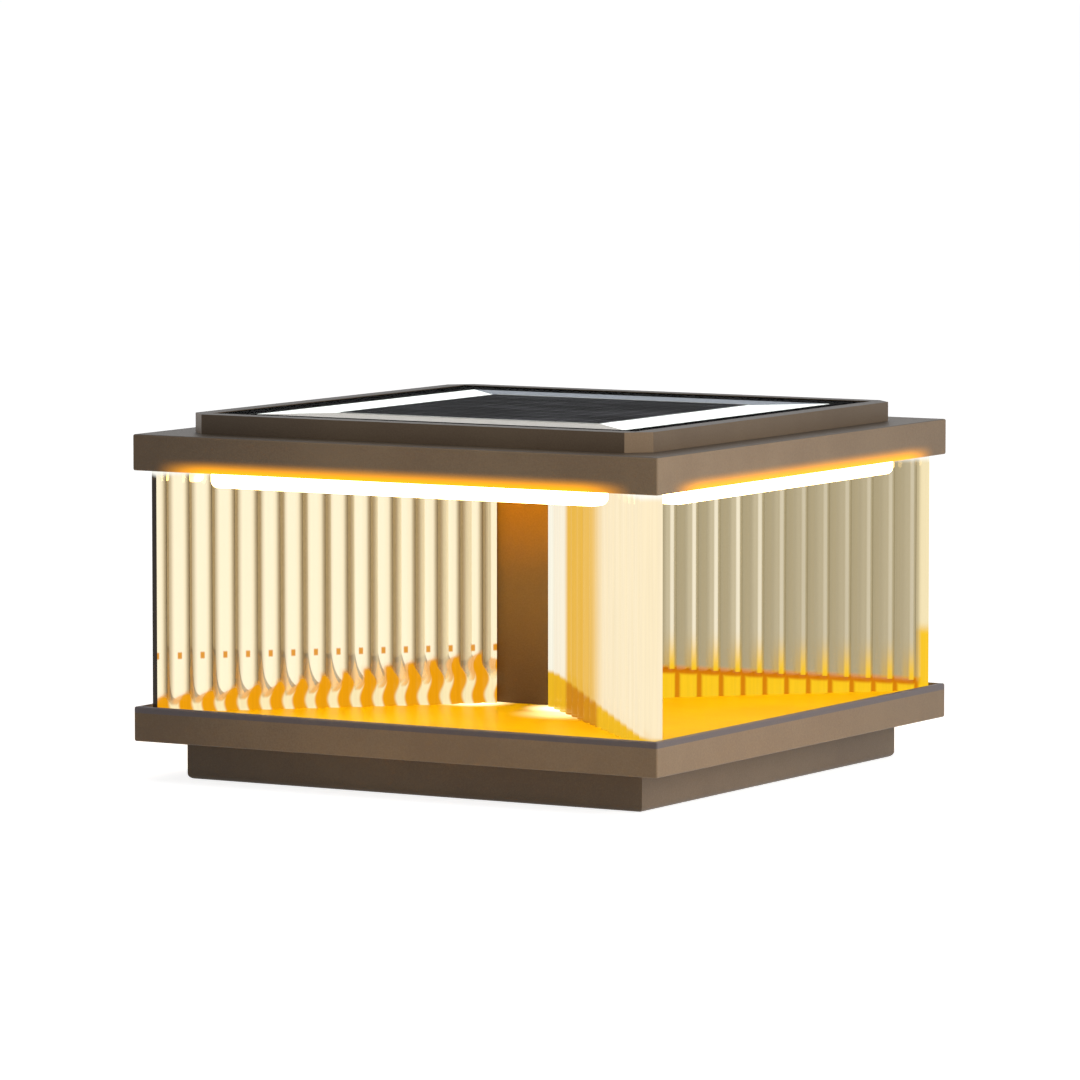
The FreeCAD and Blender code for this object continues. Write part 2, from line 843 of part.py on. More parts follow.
def controller_parts():
    blocks = [plug_block(x, y, abs(y) == board_edge_y) for x, y in entries.values()]
    half = chip_size / 2
    blocks.append(block(board_x - half, board_x + half, -half, half, controller_top,
                        controller_top + chip_height))
    x, y = coil_place
    blocks.append(post(board_x + x, y, coil_radius, controller_top, controller_top + coil_height))
    blocks += [post(board_x + x, y, capacitor_radius, controller_top, controller_top + capacitor_height)
               for x, y in capacitor_places]
    return group(blocks)


# Leads


def rounded_path(corners_list, bend):
    """Straight runs joined by tangent arcs of one radius."""
    edges = []
    start = corners_list[0]
    for before, corner, after in zip(corners_list, corners_list[1:], corners_list[2:]):
        back = (before - corner).normalize()
        ahead = (after - corner).normalize()
        half_angle = back.getAngle(ahead) / 2
        trim = bend / math.tan(half_angle)
        enter = corner + back * trim
        leave = corner + ahead * trim
        middle_way = (back + ahead).normalize()
        centre = corner + middle_way * (bend / math.sin(half_angle))
        edges.append(Part.makeLine(start, enter))
        edges.append(Part.Arc(enter, centre - middle_way * bend, leave).toShape())
        start = leave
    edges.append(Part.makeLine(start, corners_list[-1]))
    return Part.Wire(edges)


def lead(places):
    path = rounded_path([point(*place) for place in places], lead_bend)
    start, ahead = path.Edges[0].Vertexes[0].Point, point(*places[1]) - point(*places[0])
    circle = Part.Wire([Part.makeCircle(lead_radius, start, ahead)])
    return path.makePipeShell([circle], True, False)


def panel_leads():
    from_x = junction_x + junction_length / 2
    to_x, middle = entries["panel"]
    pair = []
    for side in (-1, 1):
        y = middle + side * lead_spacing / 2
        pair.append(lead([(from_x, y, lead_level), (to_x - 2 * lead_run, y, lead_level),
                          (to_x - lead_run, y, connector_level), (to_x, y, connector_level)]))
    return group(pair)


def battery_leads():
    to_x, middle = entries["battery"]
    from_y = battery_rows()[-1] + cell_radius + fit_clearance + holder_wall
    pair = []
    for side in (-1, 1):
        x = battery_lead_x - side * lead_spacing / 2
        y = middle + side * lead_spacing / 2
        pair.append(lead([(x, from_y, connector_level), (x, y, connector_level),
                          (to_x, y, connector_level)]))
    return group(pair)


def switch_leads():
    to_x, to_y = entries["switch"]
    low = barrel_top
    pair = []
    for side in (-1, 1):
        offset = side * lead_spacing / 2
        x = to_x + offset
        level = lead_level + offset
        pair.append(lead([(-offset, switch_y, low), (-offset, switch_y, level), (x, switch_y, level),
                          (x, to_y + 2 * lead_run, level), (x, to_y + lead_run, connector_level),
                          (x, to_y, connector_level)]))
    return group(pair)


def led_leads():
    """A pair from the back of each LED board, up through the ceiling and across to the controller."""
    level = connector_level
    low_level = ceiling_top + lead_floor_gap
    leads = []
    for side in (-1, 1):
        offset = side * lead_spacing / 2
        to_x, to_y = entries["led_front"]
        x = to_x + offset
        leads.append(lead([(x, -bar_middle, strip_bottom), (x, -bar_middle, low_level),
                           (x, to_y - 2 * lead_run, low_level), (x, to_y - lead_run, level),
                           (x, to_y, level)]))
        to_x, to_y = entries["led_right"]
        y = lead_places["right"] + offset
        leads.append(lead([(bar_middle, y, strip_bottom), (bar_middle, y, level), (to_x, y, level)]))
        to_x, to_y = entries["led_back"]
        x = -lead_places["back"] + offset
        y = to_y + offset
        leads.append(lead([(x, bar_middle, strip_bottom), (x, bar_middle, level), (x, y, level),
                           (to_x, y, level)]))
        to_x, to_y = entries["led_left"]
        y = -lead_places["left"] + offset
        end = to_y + offset
        leads.append(lead([(-bar_middle, y, strip_bottom), (-bar_middle, y, low_level),
                           (to_x - 4 * lead_run, y, low_level), (to_x - 2 * lead_run, end, low_level),
                           (to_x - lead_run, end, level), (to_x, end, level)]))
    return group(leads)


def build():
    os.makedirs("parts", exist_ok=True)
    save("post_plate", post_plate())
    save("lock_screws", group(lock_shanks(0, head=True)))
    save("foot_gasket", foot_gasket())
    save("plinth_skirt", plinth_skirt())
    save("skirt_screws", skirt_screws())
    save("base_flange", base_flange())
    save("floor_sheet", floor_sheet())
    save("column_tube", column_tube())
    save("column_plug_lower", column_plug(floor_top))
    save("column_plug_upper", column_plug(ceiling_bottom - plug_height))
    save("tie_rod", tie_rod())
    save("tie_washers", tie_washers())
    save("tie_nuts", tie_nuts())
    for name, degrees in corners.items():
        save("wing_" + name, ribbed_wing(degrees))
    save("wing_pads", wing_pads())
    save("ceiling_plate", ceiling_plate())
    save("ceiling_screws", ceiling_screws())
    save("cap_gasket", cap_gasket())
    save("cap_shell", cap_shell())
    save("tray_frame", tray_frame())
    save("tray_screws", tray_screws())
    save("panel_seal", panel_seal())
    save("panel_glass", slab(glass_half, glass_bottom, glass_top))
    save("solar_cells", solar_cells())
    save("cell_ribbons", cell_ribbons())
    save("cell_board", slab(cell_board_width / 2, board_bottom, cell_bottom))
    save("junction_box", junction_box())
    for name in sides:
        save("led_strip_" + name, led_strip(name))
        save("led_board_" + name, led_board(name))
        save("led_diffuser_" + name, led_diffuser(name))
    save("led_chips", led_chips())
    save("led_screws", led_screws())
    save("switch_body", switch_body())
    save("switch_nut", switch_nut())
    save("switch_button", switch_button())
    save("switch_spring", switch_spring())
    save("battery_holder", battery_holder())
    save("battery_cells", battery_cells())
    save("battery_contacts", battery_contacts())
    save("controller_board", controller_board())
    save("board_posts", board_posts())
    save("controller_parts", controller_parts())
    save("panel_leads", panel_leads())
    save("battery_leads", battery_leads())
    save("switch_leads", switch_leads())
    save("led_leads", led_leads())


build()
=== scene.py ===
import json
import math

import bmesh
import bpy
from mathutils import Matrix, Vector


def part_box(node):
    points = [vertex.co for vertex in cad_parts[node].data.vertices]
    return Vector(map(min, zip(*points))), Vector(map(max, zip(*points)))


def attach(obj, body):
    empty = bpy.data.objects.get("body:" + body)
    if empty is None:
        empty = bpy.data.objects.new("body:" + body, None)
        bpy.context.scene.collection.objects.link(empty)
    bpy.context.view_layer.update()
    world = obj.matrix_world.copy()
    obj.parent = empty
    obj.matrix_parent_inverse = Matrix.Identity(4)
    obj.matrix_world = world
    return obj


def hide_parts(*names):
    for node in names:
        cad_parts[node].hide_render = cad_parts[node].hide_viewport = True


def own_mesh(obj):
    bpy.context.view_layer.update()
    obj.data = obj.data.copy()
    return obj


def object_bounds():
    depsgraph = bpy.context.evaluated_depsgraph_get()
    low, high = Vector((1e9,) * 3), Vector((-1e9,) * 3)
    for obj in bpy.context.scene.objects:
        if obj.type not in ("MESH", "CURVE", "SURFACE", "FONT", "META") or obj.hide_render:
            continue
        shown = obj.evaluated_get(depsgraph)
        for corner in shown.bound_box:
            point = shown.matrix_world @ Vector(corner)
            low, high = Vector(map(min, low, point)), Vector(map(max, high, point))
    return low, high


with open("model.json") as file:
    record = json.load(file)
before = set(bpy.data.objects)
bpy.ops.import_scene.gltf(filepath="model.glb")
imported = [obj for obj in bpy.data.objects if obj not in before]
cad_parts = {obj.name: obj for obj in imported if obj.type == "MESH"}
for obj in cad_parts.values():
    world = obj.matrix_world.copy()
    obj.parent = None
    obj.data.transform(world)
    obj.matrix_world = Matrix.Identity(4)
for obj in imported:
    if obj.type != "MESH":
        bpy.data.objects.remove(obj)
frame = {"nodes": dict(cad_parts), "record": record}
nodes = frame["nodes"]
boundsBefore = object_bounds()
print("frame loaded", len(nodes), "nodes")


def rgb(red, green, blue):  # screen colour, 0 to 255, as a linear colour
    def linear(value):
        part = value / 255
        return part / 12.92 if part <= 0.04045 else ((part + 0.055) / 1.055) ** 2.4
    return (linear(red), linear(green), linear(blue), 1.0)


def addNode(tree, kind, inputs=None, **settings):
    node = tree.nodes.new(kind)
    for key, value in settings.items():
        setattr(node, key, value)
    for key, value in (inputs or {}).items():
        if isinstance(value, bpy.types.NodeSocket):
            tree.links.new(value, node.inputs[key])
        else:
            node.inputs[key].default_value = value
    return node


def calc(tree, operation, first, second=0.0, third=0.0):
    node = addNode(tree, "ShaderNodeMath", {0: first, 1: second, 2: third}, operation=operation)
    return node.outputs[0]


def ramp(tree, value, low, high, lowTo=0.0, highTo=1.0, smooth=True):
    inputs = {"Value": value, "From Min": low, "From Max": high, "To Min": lowTo, "To Max": highTo}
    kind = "SMOOTHSTEP" if smooth else "LINEAR"
    return addNode(tree, "ShaderNodeMapRange", inputs, interpolation_type=kind).outputs["Result"]


def blendColor(tree, factor, first, second, kind="MIX"):
    inputs = {0: factor, 6: first, 7: second}
    return addNode(tree, "ShaderNodeMix", inputs, data_type="RGBA", blend_type=kind).outputs[2]


def noise(tree, coords, scale, detail=3.0, roughness=0.5):
    inputs = {"Vector": coords, "Scale": scale, "Detail": detail, "Roughness": roughness}
    return addNode(tree, "ShaderNodeTexNoise", inputs).outputs["Fac"]


def newMaterial(name):
    material = bpy.data.materials.new(name)
    material.use_nodes = True
    tree = material.node_tree
    tree.nodes.clear()
    coords = tree.nodes.new("ShaderNodeTexCoord").outputs["Object"]
    return material, tree, coords


def closeMaterial(material, shader):
    addNode(material.node_tree, "ShaderNodeOutputMaterial", {"Surface": shader.outputs[0]})
    return material


def coated(material, inputs):  # one principled surface
    return closeMaterial(material, addNode(material.node_tree, "ShaderNodeBsdfPrincipled", inputs))


def bumped(tree, strength, height, depth=0.0004):
    inputs = {"Strength": strength, "Distance": depth, "Height": height}
    return addNode(tree, "ShaderNodeBump", inputs).outputs[0]


def shadowClear(tree, shader, tint):  # the shader, but plain tinted clearness for shadow rays
    clear = addNode(tree, "ShaderNodeBsdfTransparent", {"Color": tint})
    shadow = tree.nodes.new("ShaderNodeLightPath").outputs["Is Shadow Ray"]
    return addNode(tree, "ShaderNodeMixShader", {0: shadow, 1: shader.outputs[0], 2: clear.outputs[0]})


def dot(tree, coords, way):
    inputs = {0: coords, 1: way}
    return addNode(tree, "ShaderNodeVectorMath", inputs, operation="DOT_PRODUCT").outputs["Value"]


def absolute(tree, value):
    return calc(tree, "ABSOLUTE", value)


def tripled(tree, value):  # one level as a grey
    return addNode(tree, "ShaderNodeCombineXYZ", {0: value, 1: value, 2: value}).outputs[0]


def axes(tree, coords):
    split = addNode(tree, "ShaderNodeSeparateXYZ", {0: coords})
    return split.outputs[0], split.outputs[1], split.outputs[2]


def shown(tree):  # 1 for rays that show the backdrop itself, 0 for those that only light the object
    path = tree.nodes.new("ShaderNodeLightPath")
    seen = calc(tree, "ADD", path.outputs["Is Camera Ray"], path.outputs["Is Glossy Ray"])
    seen = calc(tree, "ADD", seen, path.outputs["Is Transmission Ray"])
    return calc(tree, "MINIMUM", seen, 1.0)


def turnTowards(place, aim):
    return (Vector(aim) - Vector(place)).to_track_quat("-Z", "Y").to_euler()


# Camera
camera = {
    "place": (1.4839, -2.5217, 0.3586),
    "aim": (-0.0020, -0.0012, 0.0965),
    "lens": 232.5,
    "sensor": 36,
}
eye = bpy.data.cameras.new("eye")
eye.lens = camera["lens"]
eye.sensor_width = camera["sensor"]
eyeObject = bpy.data.objects.new("eye", eye)
bpy.context.scene.collection.objects.link(eyeObject)
eyeObject.location = camera["place"]
eyeObject.rotation_euler = turnTowards(camera["place"], camera["aim"])
bpy.context.scene.camera = eyeObject
bpy.context.scene.view_settings.view_transform = "Standard"


# Studio
studio = {
    "skyLight": 0.3,
    "floorColor": (0.6, 0.6, 0.6, 1.0),
    "floorGlow": 0.83,
    "lamps": (
        ("keyLamp", (2.8, -0.1, 1.0), 2.0, 48.0),
        ("topLamp", (0.0, 0.3, 2.4), 2.4, 8.0),
    ),  # name, place, size, power
    "lampAim": (0.0, 0.0, 0.07),
    "groundReach": 30.0,
    "groundDrop": 0.0002,
}


def makeStudio():
    world = bpy.data.worlds.new("studioWorld")
    bpy.context.scene.world = world
    world.use_nodes = True
    tree = world.node_tree
    tree.nodes.clear()
    strength = ramp(tree, shown(tree), 0.0, 1.0, studio["skyLight"], 1.0, smooth=False)
    sky = addNode(tree, "ShaderNodeBackground", {"Color": (1.0, 1.0, 1.0, 1.0), "Strength": strength})
    addNode(tree, "ShaderNodeOutputWorld", {"Surface": sky.outputs[0]})
    for name, place, size, power in studio["lamps"]:
        lamp = bpy.data.lights.new(name, "AREA")
        lamp.size = size
        lamp.energy = power
        lampObject = bpy.data.objects.new(name, lamp)
        bpy.context.scene.collection.objects.link(lampObject)
        lampObject.location = place
        lampObject.rotation_euler = turnTowards(place, studio["lampAim"])
    material, tree = newMaterial("studioFloor")[:2]
    base = addNode(tree, "ShaderNodeBsdfDiffuse", {"Color": studio["floorColor"]})
    glow = ramp(tree, shown(tree), 0.0, 1.0, 0.0, studio["floorGlow"], smooth=False)
    light = addNode(tree, "ShaderNodeEmission", {"Color": (1.0, 1.0, 1.0, 1.0), "Strength": glow})
    both = addNode(tree, "ShaderNodeAddShader", {0: base.outputs[0], 1: light.outputs[0]})
    closeMaterial(material, both)
    mesh = bpy.data.meshes.new("studioGround")
    reach = studio["groundReach"]
    corners = [(-reach, -reach, 0), (reach, -reach, 0), (reach, reach, 0), (-reach, reach, 0)]
    mesh.from_pydata(corners, [], [(0, 1, 2, 3)])
    mesh.materials.append(material)
    ground = bpy.data.objects.new("studioGround", mesh)
    bpy.context.scene.collection.objects.link(ground)
    ground.location.z = boundsBefore[0].z - studio["groundDrop"]


makeStudio()
print("camera and studio ready")


# Plain finishes, one per slot: two colours that mix in fine grain and broad clouds, in screen colours
plainLooks = {
    "plate_steel": {"color": (150, 152, 154), "shade": (120, 122, 126), "grain": 900, "cloud": 40,
                    "roughness": 0.38, "metallic": 0.9, "bump": 0.10},
    "screw_steel": {"color": (175, 176, 178), "shade": (140, 141, 145), "grain": 1500, "cloud": 200,
                    "roughness": 0.28, "metallic": 1.0, "bump": 0.05},
    "black_rubber": {"color": (26, 26, 27), "shade": (16, 16, 17), "grain": 1800, "cloud": 60,
                     "roughness": 0.75, "metallic": 0.0, "bump": 0.25, "shine": 0.03},
    "plug_plastic": {"color": (48, 44, 40), "shade": (34, 32, 30), "grain": 1400, "cloud": 60,
                     "roughness": 0.55, "metallic": 0.0, "bump": 0.15},
    "ceiling_white": {"color": (226, 218, 200), "shade": (208, 198, 176), "grain": 1200, "cloud": 25,
                      "roughness": 0.5, "metallic": 0.0, "bump": 0.12},
    "tinned_copper": {"color": (196, 192, 186), "shade": (160, 156, 150), "grain": 1600, "cloud": 120,
                      "roughness": 0.3, "metallic": 1.0, "bump": 0.05},
    "led_phosphor": {"color": (240, 200, 60), "shade": (226, 176, 40), "grain": 2600, "cloud": 300,
                     "roughness": 0.5, "metallic": 0.0, "bump": 0.1},
    "black_plastic": {"color": (30, 30, 31), "shade": (20, 20, 21), "grain": 1600, "cloud": 80,
                      "roughness": 0.5, "metallic": 0.0, "bump": 0.18},
    "button_plastic": {"color": (64, 60, 56), "shade": (48, 45, 42), "grain": 1800, "cloud": 120,
                       "roughness": 0.42, "metallic": 0.0, "bump": 0.12},
    "cell_wrap": {"color": (38, 96, 160), "shade": (30, 78, 138), "grain": 700, "cloud": 60,
                  "roughness": 0.3, "metallic": 0.0, "bump": 0.06},
    "green_board": {"color": (24, 92, 52), "shade": (18, 74, 42), "grain": 1100, "cloud": 160,
                    "roughness": 0.35, "metallic": 0.0, "bump": 0.12},
    "lead_red": {"color": (170, 30, 26), "shade": (140, 22, 20), "grain": 1300, "cloud": 90,
                 "roughness": 0.45, "metallic": 0.0, "bump": 0.1},
    "bare_aluminium": {"color": (190, 191, 193), "shade": (164, 165, 168), "grain": 1000, "cloud": 80,
                       "roughness": 0.32, "metallic": 1.0, "bump": 0.08},
    "white_board": {"color": (232, 232, 228), "shade": (216, 216, 210), "grain": 1300, "cloud": 120,
                    "roughness": 0.4, "metallic": 0.0, "bump": 0.06},
}


# How the two colours mix, how far the roughness strays, and the shine of a finish that names none
grain = {"fineShare": 0.5, "cloudShare": 0.5, "contrast": (0.36, 0.64), "less": 0.05, "more": 0.07,
         "shine": 0.4}


def grainColor(tree, coords, look):
    fine = noise(tree, coords, look["grain"], 4.0, 0.6)
    broad = noise(tree, coords, look["cloud"], 3.0, 0.55)
    mixed = calc(tree, "MULTIPLY_ADD", fine, grain["fineShare"],
                 calc(tree, "MULTIPLY", broad, grain["cloudShare"]))
    factor = ramp(tree, mixed, *grain["contrast"])
    color = blendColor(tree, factor, rgb(*look["color"]), rgb(*look["shade"]))
    return color, bumped(tree, look["bump"], fine), factor


def plainMaterial(name, look):
    material, tree, coords = newMaterial(name)
    color, bump, factor = grainColor(tree, coords, look)
    rough = look["roughness"]
    rough = ramp(tree, factor, 0.0, 1.0, rough - grain["less"], rough + grain["more"])
    return coated(material, {
        "Base Color": color, "Roughness": rough, "Normal": bump, "Metallic": look["metallic"],
        "Specular IOR Level": look.get("shine", grain["shine"])})


def wear(node, material):
    data = nodes[node].data
    if not data.materials:
        data.materials.append(material)
    for index in range(len(data.materials)):
        data.materials[index] = material


slotOf = {part["node"]: part["material_slot"] for part in frame["record"]["subparts"]}
finishes = {slot: plainMaterial(slot, look) for slot, look in plainLooks.items()}
for node, slot in slotOf.items():
    if slot in finishes:
        wear(node, finishes[slot])
print("plain finishes", len(finishes))


# Bronze powder coat on the plinth, flange, cap and tray, with painted shade by side and facing, painted light
# on the tray's corner faces and a painted glow on the cap's lower lip
bronze = {
    "color": (153, 129, 101), "shade": (140, 116, 90), "grain": 1700, "cloud": 22,
    "roughness": 0.46, "bump": 0.22, "shine": 0.3,
    # painted shade: the coat darker towards -X and towards the back
    "farShade": 0.54, "backShade": 0.74, "backFrom": -0.08,
    "ledgeShade": 0.22, "ledgeFacing": (0.5, 0.95),  # painted shade on faces that look up
    "slantFacing": (0.3, 0.45),  # painted light on faces that cut the tray's corners
    "glow": (255, 164, 4), "glowPower": 1.5, "glowHeight": 0.0068, "glowCurve": 1.7,  # painted glow of the bars' light on the cap's lower lip
    "glowBase": (0.3, 0.1, 0.0, 1.0), "barHalf": 0.1010, "barFade": 0.014,
    "rimStrip": (92, 90, 100), "rimHeight": 0.0024, "rimSoft": 0.0004, "rimShare": 0.75,  # flange's rim
}


# corner sets the painted light on slanted corner faces, glow adds the cap lip's painted glow
def bronzeMaterial(name, tint=1.0, glow=False, strip=False, corner=1.0):
    material, tree, coords = newMaterial(name)
    color, bump = grainColor(tree, coords, bronze)[:2]
    x, y, z = axes(tree, coords)
    color = blendColor(tree, 1.0, color, (tint, tint, tint, 1.0), "MULTIPLY")
    edge = calc(tree, "MINIMUM", absolute(tree, x), absolute(tree, y))
    across, along, up = axes(tree, tree.nodes.new("ShaderNodeNewGeometry").outputs["Normal"])
    # painted shade: darker towards -X, towards the back and on faces that look up
    shading = (ramp(tree, x, boundsBefore[0].x, 0.0, bronze["farShade"], 1.0),
               ramp(tree, y, bronze["backFrom"], boundsBefore[1].y, 1.0, bronze["backShade"]),
               ramp(tree, up, *bronze["ledgeFacing"], 1.0, bronze["ledgeShade"]))
    level = calc(tree, "MULTIPLY", calc(tree, "MULTIPLY", shading[0], shading[1]), shading[2])
    color = blendColor(tree, 1.0, color, tripled(tree, level), "MULTIPLY")
    # painted light: faces that cut the tray's corners made lighter by corner
    both = calc(tree, "MULTIPLY", absolute(tree, across), absolute(tree, along))
    slant = ramp(tree, both, *bronze["slantFacing"], 1.0, corner)
    color = blendColor(tree, 1.0, color, tripled(tree, slant), "MULTIPLY")
    if strip:
        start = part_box("base_flange")[1].z - bronze["rimHeight"]
        rim = ramp(tree, z, start - bronze["rimSoft"], start)
        rim = calc(tree, "MULTIPLY", rim, bronze["rimShare"])
        color = blendColor(tree, rim, color, rgb(*bronze["rimStrip"]))
    inputs = {"Base Color": color, "Roughness": bronze["roughness"], "Normal": bump,
              "Specular IOR Level": bronze["shine"]}
    # painted glow: the bars' light on the cap's lower lip, as emission fading up from its bottom and out past
    # the bars' ends
    if glow:
        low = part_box("cap_shell")[0].z
        fade = ramp(tree, z, low, low + bronze["glowHeight"], 1.0, 0.0)
        half, soft = bronze["barHalf"], bronze["barFade"]
        ends = ramp(tree, edge, half - soft, half + soft, 1.0, 0.0)
        power = calc(tree, "MULTIPLY", calc(tree, "POWER", fade, bronze["glowCurve"]), ends)
        inputs["Base Color"] = blendColor(tree, power, color, bronze["glowBase"])
        inputs["Emission Color"] = rgb(*bronze["glow"])
        inputs["Emission Strength"] = calc(tree, "MULTIPLY", power, bronze["glowPower"])
    return coated(material, inputs)


wear("cap_shell", bronzeMaterial("capPaint", glow=True))
wear("base_flange", bronzeMaterial("flangePaint", strip=True))
wear("plinth_skirt", bronzeMaterial("plinthPaint", tint=0.7))
wear("tray_frame", bronzeMaterial("trayPaint", tint=0.58, corner=1.9))


# Column, with painted warm light towards the top and painted shade along its edges
column = {"top": (196, 132, 0), "topFrom": 0.45, "middle": (122, 98, 62), "middleAt": 0.5,
          "foot": (90, 73, 56), "edge": (84, 40, 18), "edgeReach": (0.0025, 0.0006), "edgeShare": 0.6,
          "speck": (0.02, 0.01, 0.0, 1.0), "speckShare": 0.12,
          "grain": 1500, "roughness": 0.42, "bump": 0.15, "shine": 0.08}


def columnMaterial():
    material, tree, coords = newMaterial("columnPaint")
    x, y, z = axes(tree, coords)
    low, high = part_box("column_tube")
    # painted light: the bars' warm light, brightest at the top and fading down the column
    upper = ramp(tree, z, low.z + column["topFrom"] * (high.z - low.z), high.z)
    lower = ramp(tree, z, low.z, low.z + column["middleAt"] * (high.z - low.z))
    color = blendColor(tree, lower, rgb(*column["foot"]), rgb(*column["middle"]))
    color = blendColor(tree, upper, color, rgb(*column["top"]))
    fine = noise(tree, coords, column["grain"], 4.0, 0.6)
    color = blendColor(tree, ramp(tree, fine, 0.3, 0.7, 0.0, column["speckShare"]), color, column["speck"])
    # painted shade along the column's edges
    nearEdge = calc(tree, "MINIMUM", absolute(tree, x), absolute(tree, y))
    far, near = column["edgeReach"]
    rim = ramp(tree, nearEdge, high.x - far, high.x - near, 0.0, column["edgeShare"])
    color = blendColor(tree, rim, color, rgb(*column["edge"]))
    return coated(material, {
        "Base Color": color, "Roughness": column["roughness"], "Normal": bumped(tree, column["bump"], fine),
        "Specular IOR Level": column["shine"]})


wear("column_tube", columnMaterial())


# Golden floor sheet, with painted hot spots and a painted pool of the bars' light
golden = {"color": (238, 200, 0), "shade": (230, 186, 0), "roughness": 0.34, "bump": 0.06, "shine": 0.02,
          # spot and pool: painted highlights of the bars' light, as emission
          "spot": (255, 242, 196), "spotPlace": 0.0215, "spotReach": 0.019, "spotPower": 2.8,
          "pool": (0.033, -0.038), "poolReach": 0.026, "poolPower": 1.2,
          "brushStretch": 14.0, "brush": 160, "brushShare": 0.4, "cloud": 18, "cloudShare": 0.6}


def floorMaterial():
    material, tree, coords = newMaterial("goldenSheet")
    x, y = axes(tree, coords)[:2]
    stretch = (1.0, golden["brushStretch"], 1.0)
    brushed = addNode(tree, "ShaderNodeMapping", {"Vector": coords, "Scale": stretch})
    streak = noise(tree, brushed.outputs[0], golden["brush"], 4.0, 0.6)
    broad = noise(tree, coords, golden["cloud"], 2.0)
    mixed = calc(tree, "MULTIPLY_ADD", streak, golden["brushShare"],
                 calc(tree, "MULTIPLY", broad, golden["cloudShare"]))
    color = blendColor(tree, ramp(tree, mixed, 0.35, 0.65), rgb(*golden["color"]), rgb(*golden["shade"]))
    # painted highlights: four hot spots of the bars' light around the column's foot
    away = [calc(tree, "SUBTRACT", absolute(tree, axis), golden["spotPlace"]) for axis in (x, y)]
    squares = [calc(tree, "MULTIPLY", part, part) for part in away]
    far = calc(tree, "SQRT", calc(tree, "ADD", *squares))
    spot = calc(tree, "MULTIPLY", ramp(tree, far, 0.0, golden["spotReach"], 1.0, 0.0), golden["spotPower"])
    # painted pool of the bars' light beside the column's foot
    inputs = {0: coords, 1: (*golden["pool"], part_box("floor_sheet")[1].z)}
    away = addNode(tree, "ShaderNodeVectorMath", inputs, operation="DISTANCE").outputs["Value"]
    pool = calc(tree, "MULTIPLY", ramp(tree, away, 0.0, golden["poolReach"], 1.0, 0.0), golden["poolPower"])
    return coated(material, {
        "Base Color": color, "Roughness": golden["roughness"], "Normal": bumped(tree, golden["bump"], streak),
        "Specular IOR Level": golden["shine"],
        "Emission Color": rgb(*golden["spot"]), "Emission Strength": calc(tree, "ADD", spot, pool)})


wear("floor_sheet", floorMaterial())
print("painted metal ready")


# Light bars
bar = {"color": (1.0, 0.66, 0.26, 1.0), "power": 13.0, "leastShare": 0.94, "cloud": 60,
       "body": (0.9, 0.88, 0.82, 1.0), "roughness": 0.4}


def diffuserMaterial():
    material, tree, coords = newMaterial("litDiffuser")
    soft = noise(tree, coords, bar["cloud"], 2.0)
    power = ramp(tree, soft, 0.3, 0.7, bar["power"] * bar["leastShare"], bar["power"])
    return coated(material, {
        "Base Color": bar["body"], "Roughness": bar["roughness"], "Emission Color": bar["color"],
        "Emission Strength": power})


litDiffuser = diffuserMaterial()
for node, slot in slotOf.items():
    if slot == "opal_diffuser":
        wear(node, litDiffuser)


# Solar panel, whose band around the cells has painted light, shade and glow
panel = {
    "cell": (93, 91, 94), "cloud": (126, 123, 129), "cellRoughness": 0.5, "cellShine": 0.02,
    "cellStretch": 2.6, "cellTurn": 24, "cellGrain": 16, "cellContrast": (0.42, 0.66),
    "finger": (150, 150, 156), "fingerPitch": 0.0024, "fingerEdge": (0.42, 0.47), "fingerShare": 0.22,
    # the band around the cells: painted light on its sides, painted shade at its front and back, and a
    # painted glow
    "bandLitSides": (255, 255, 253), "bandFrontShade": (168, 160, 156), "bandBackShade": (120, 122, 132),
    "bandPaintedGlow": 0.45, "bandRoughness": 0.5, "bandShine": 0.05, "bandGrain": 700,
    "bandSpeck": (0.4, 0.4, 0.4, 1.0), "bandSpeckShare": 0.06,
    "glassTint": (0.97, 0.985, 0.98, 1.0), "glassShadow": (0.96, 0.98, 0.97, 1.0), "glassBend": 1.5,
    "glassGloss": 0.012, "glassRoughness": 0.05, "dust": 35, "dustRoughness": 0.1,
}


def cellMaterial():
    material, tree, coords = newMaterial("solarSilicon")
    stretched = addNode(tree, "ShaderNodeMapping", {
        "Vector": coords, "Scale": (1.0, panel["cellStretch"], 1.0),
        "Rotation": (0.0, 0.0, math.radians(panel["cellTurn"]))})
    streak = noise(tree, stretched.outputs[0], panel["cellGrain"], 4.0, 0.6)
    y = axes(tree, coords)[1]
    fingers = calc(tree, "FRACT", calc(tree, "MULTIPLY", y, 1 / panel["fingerPitch"]))
    fingers = absolute(tree, calc(tree, "SUBTRACT", fingers, 0.5))
    fingers = ramp(tree, fingers, *panel["fingerEdge"], 0.0, panel["fingerShare"])
    clouds = ramp(tree, streak, *panel["cellContrast"])
    color = blendColor(tree, clouds, rgb(*panel["cell"]), rgb(*panel["cloud"]))
    color = blendColor(tree, fingers, color, rgb(*panel["finger"]))
    return coated(material, {"Base Color": color, "Roughness": panel["cellRoughness"],
                             "Specular IOR Level": panel["cellShine"]})


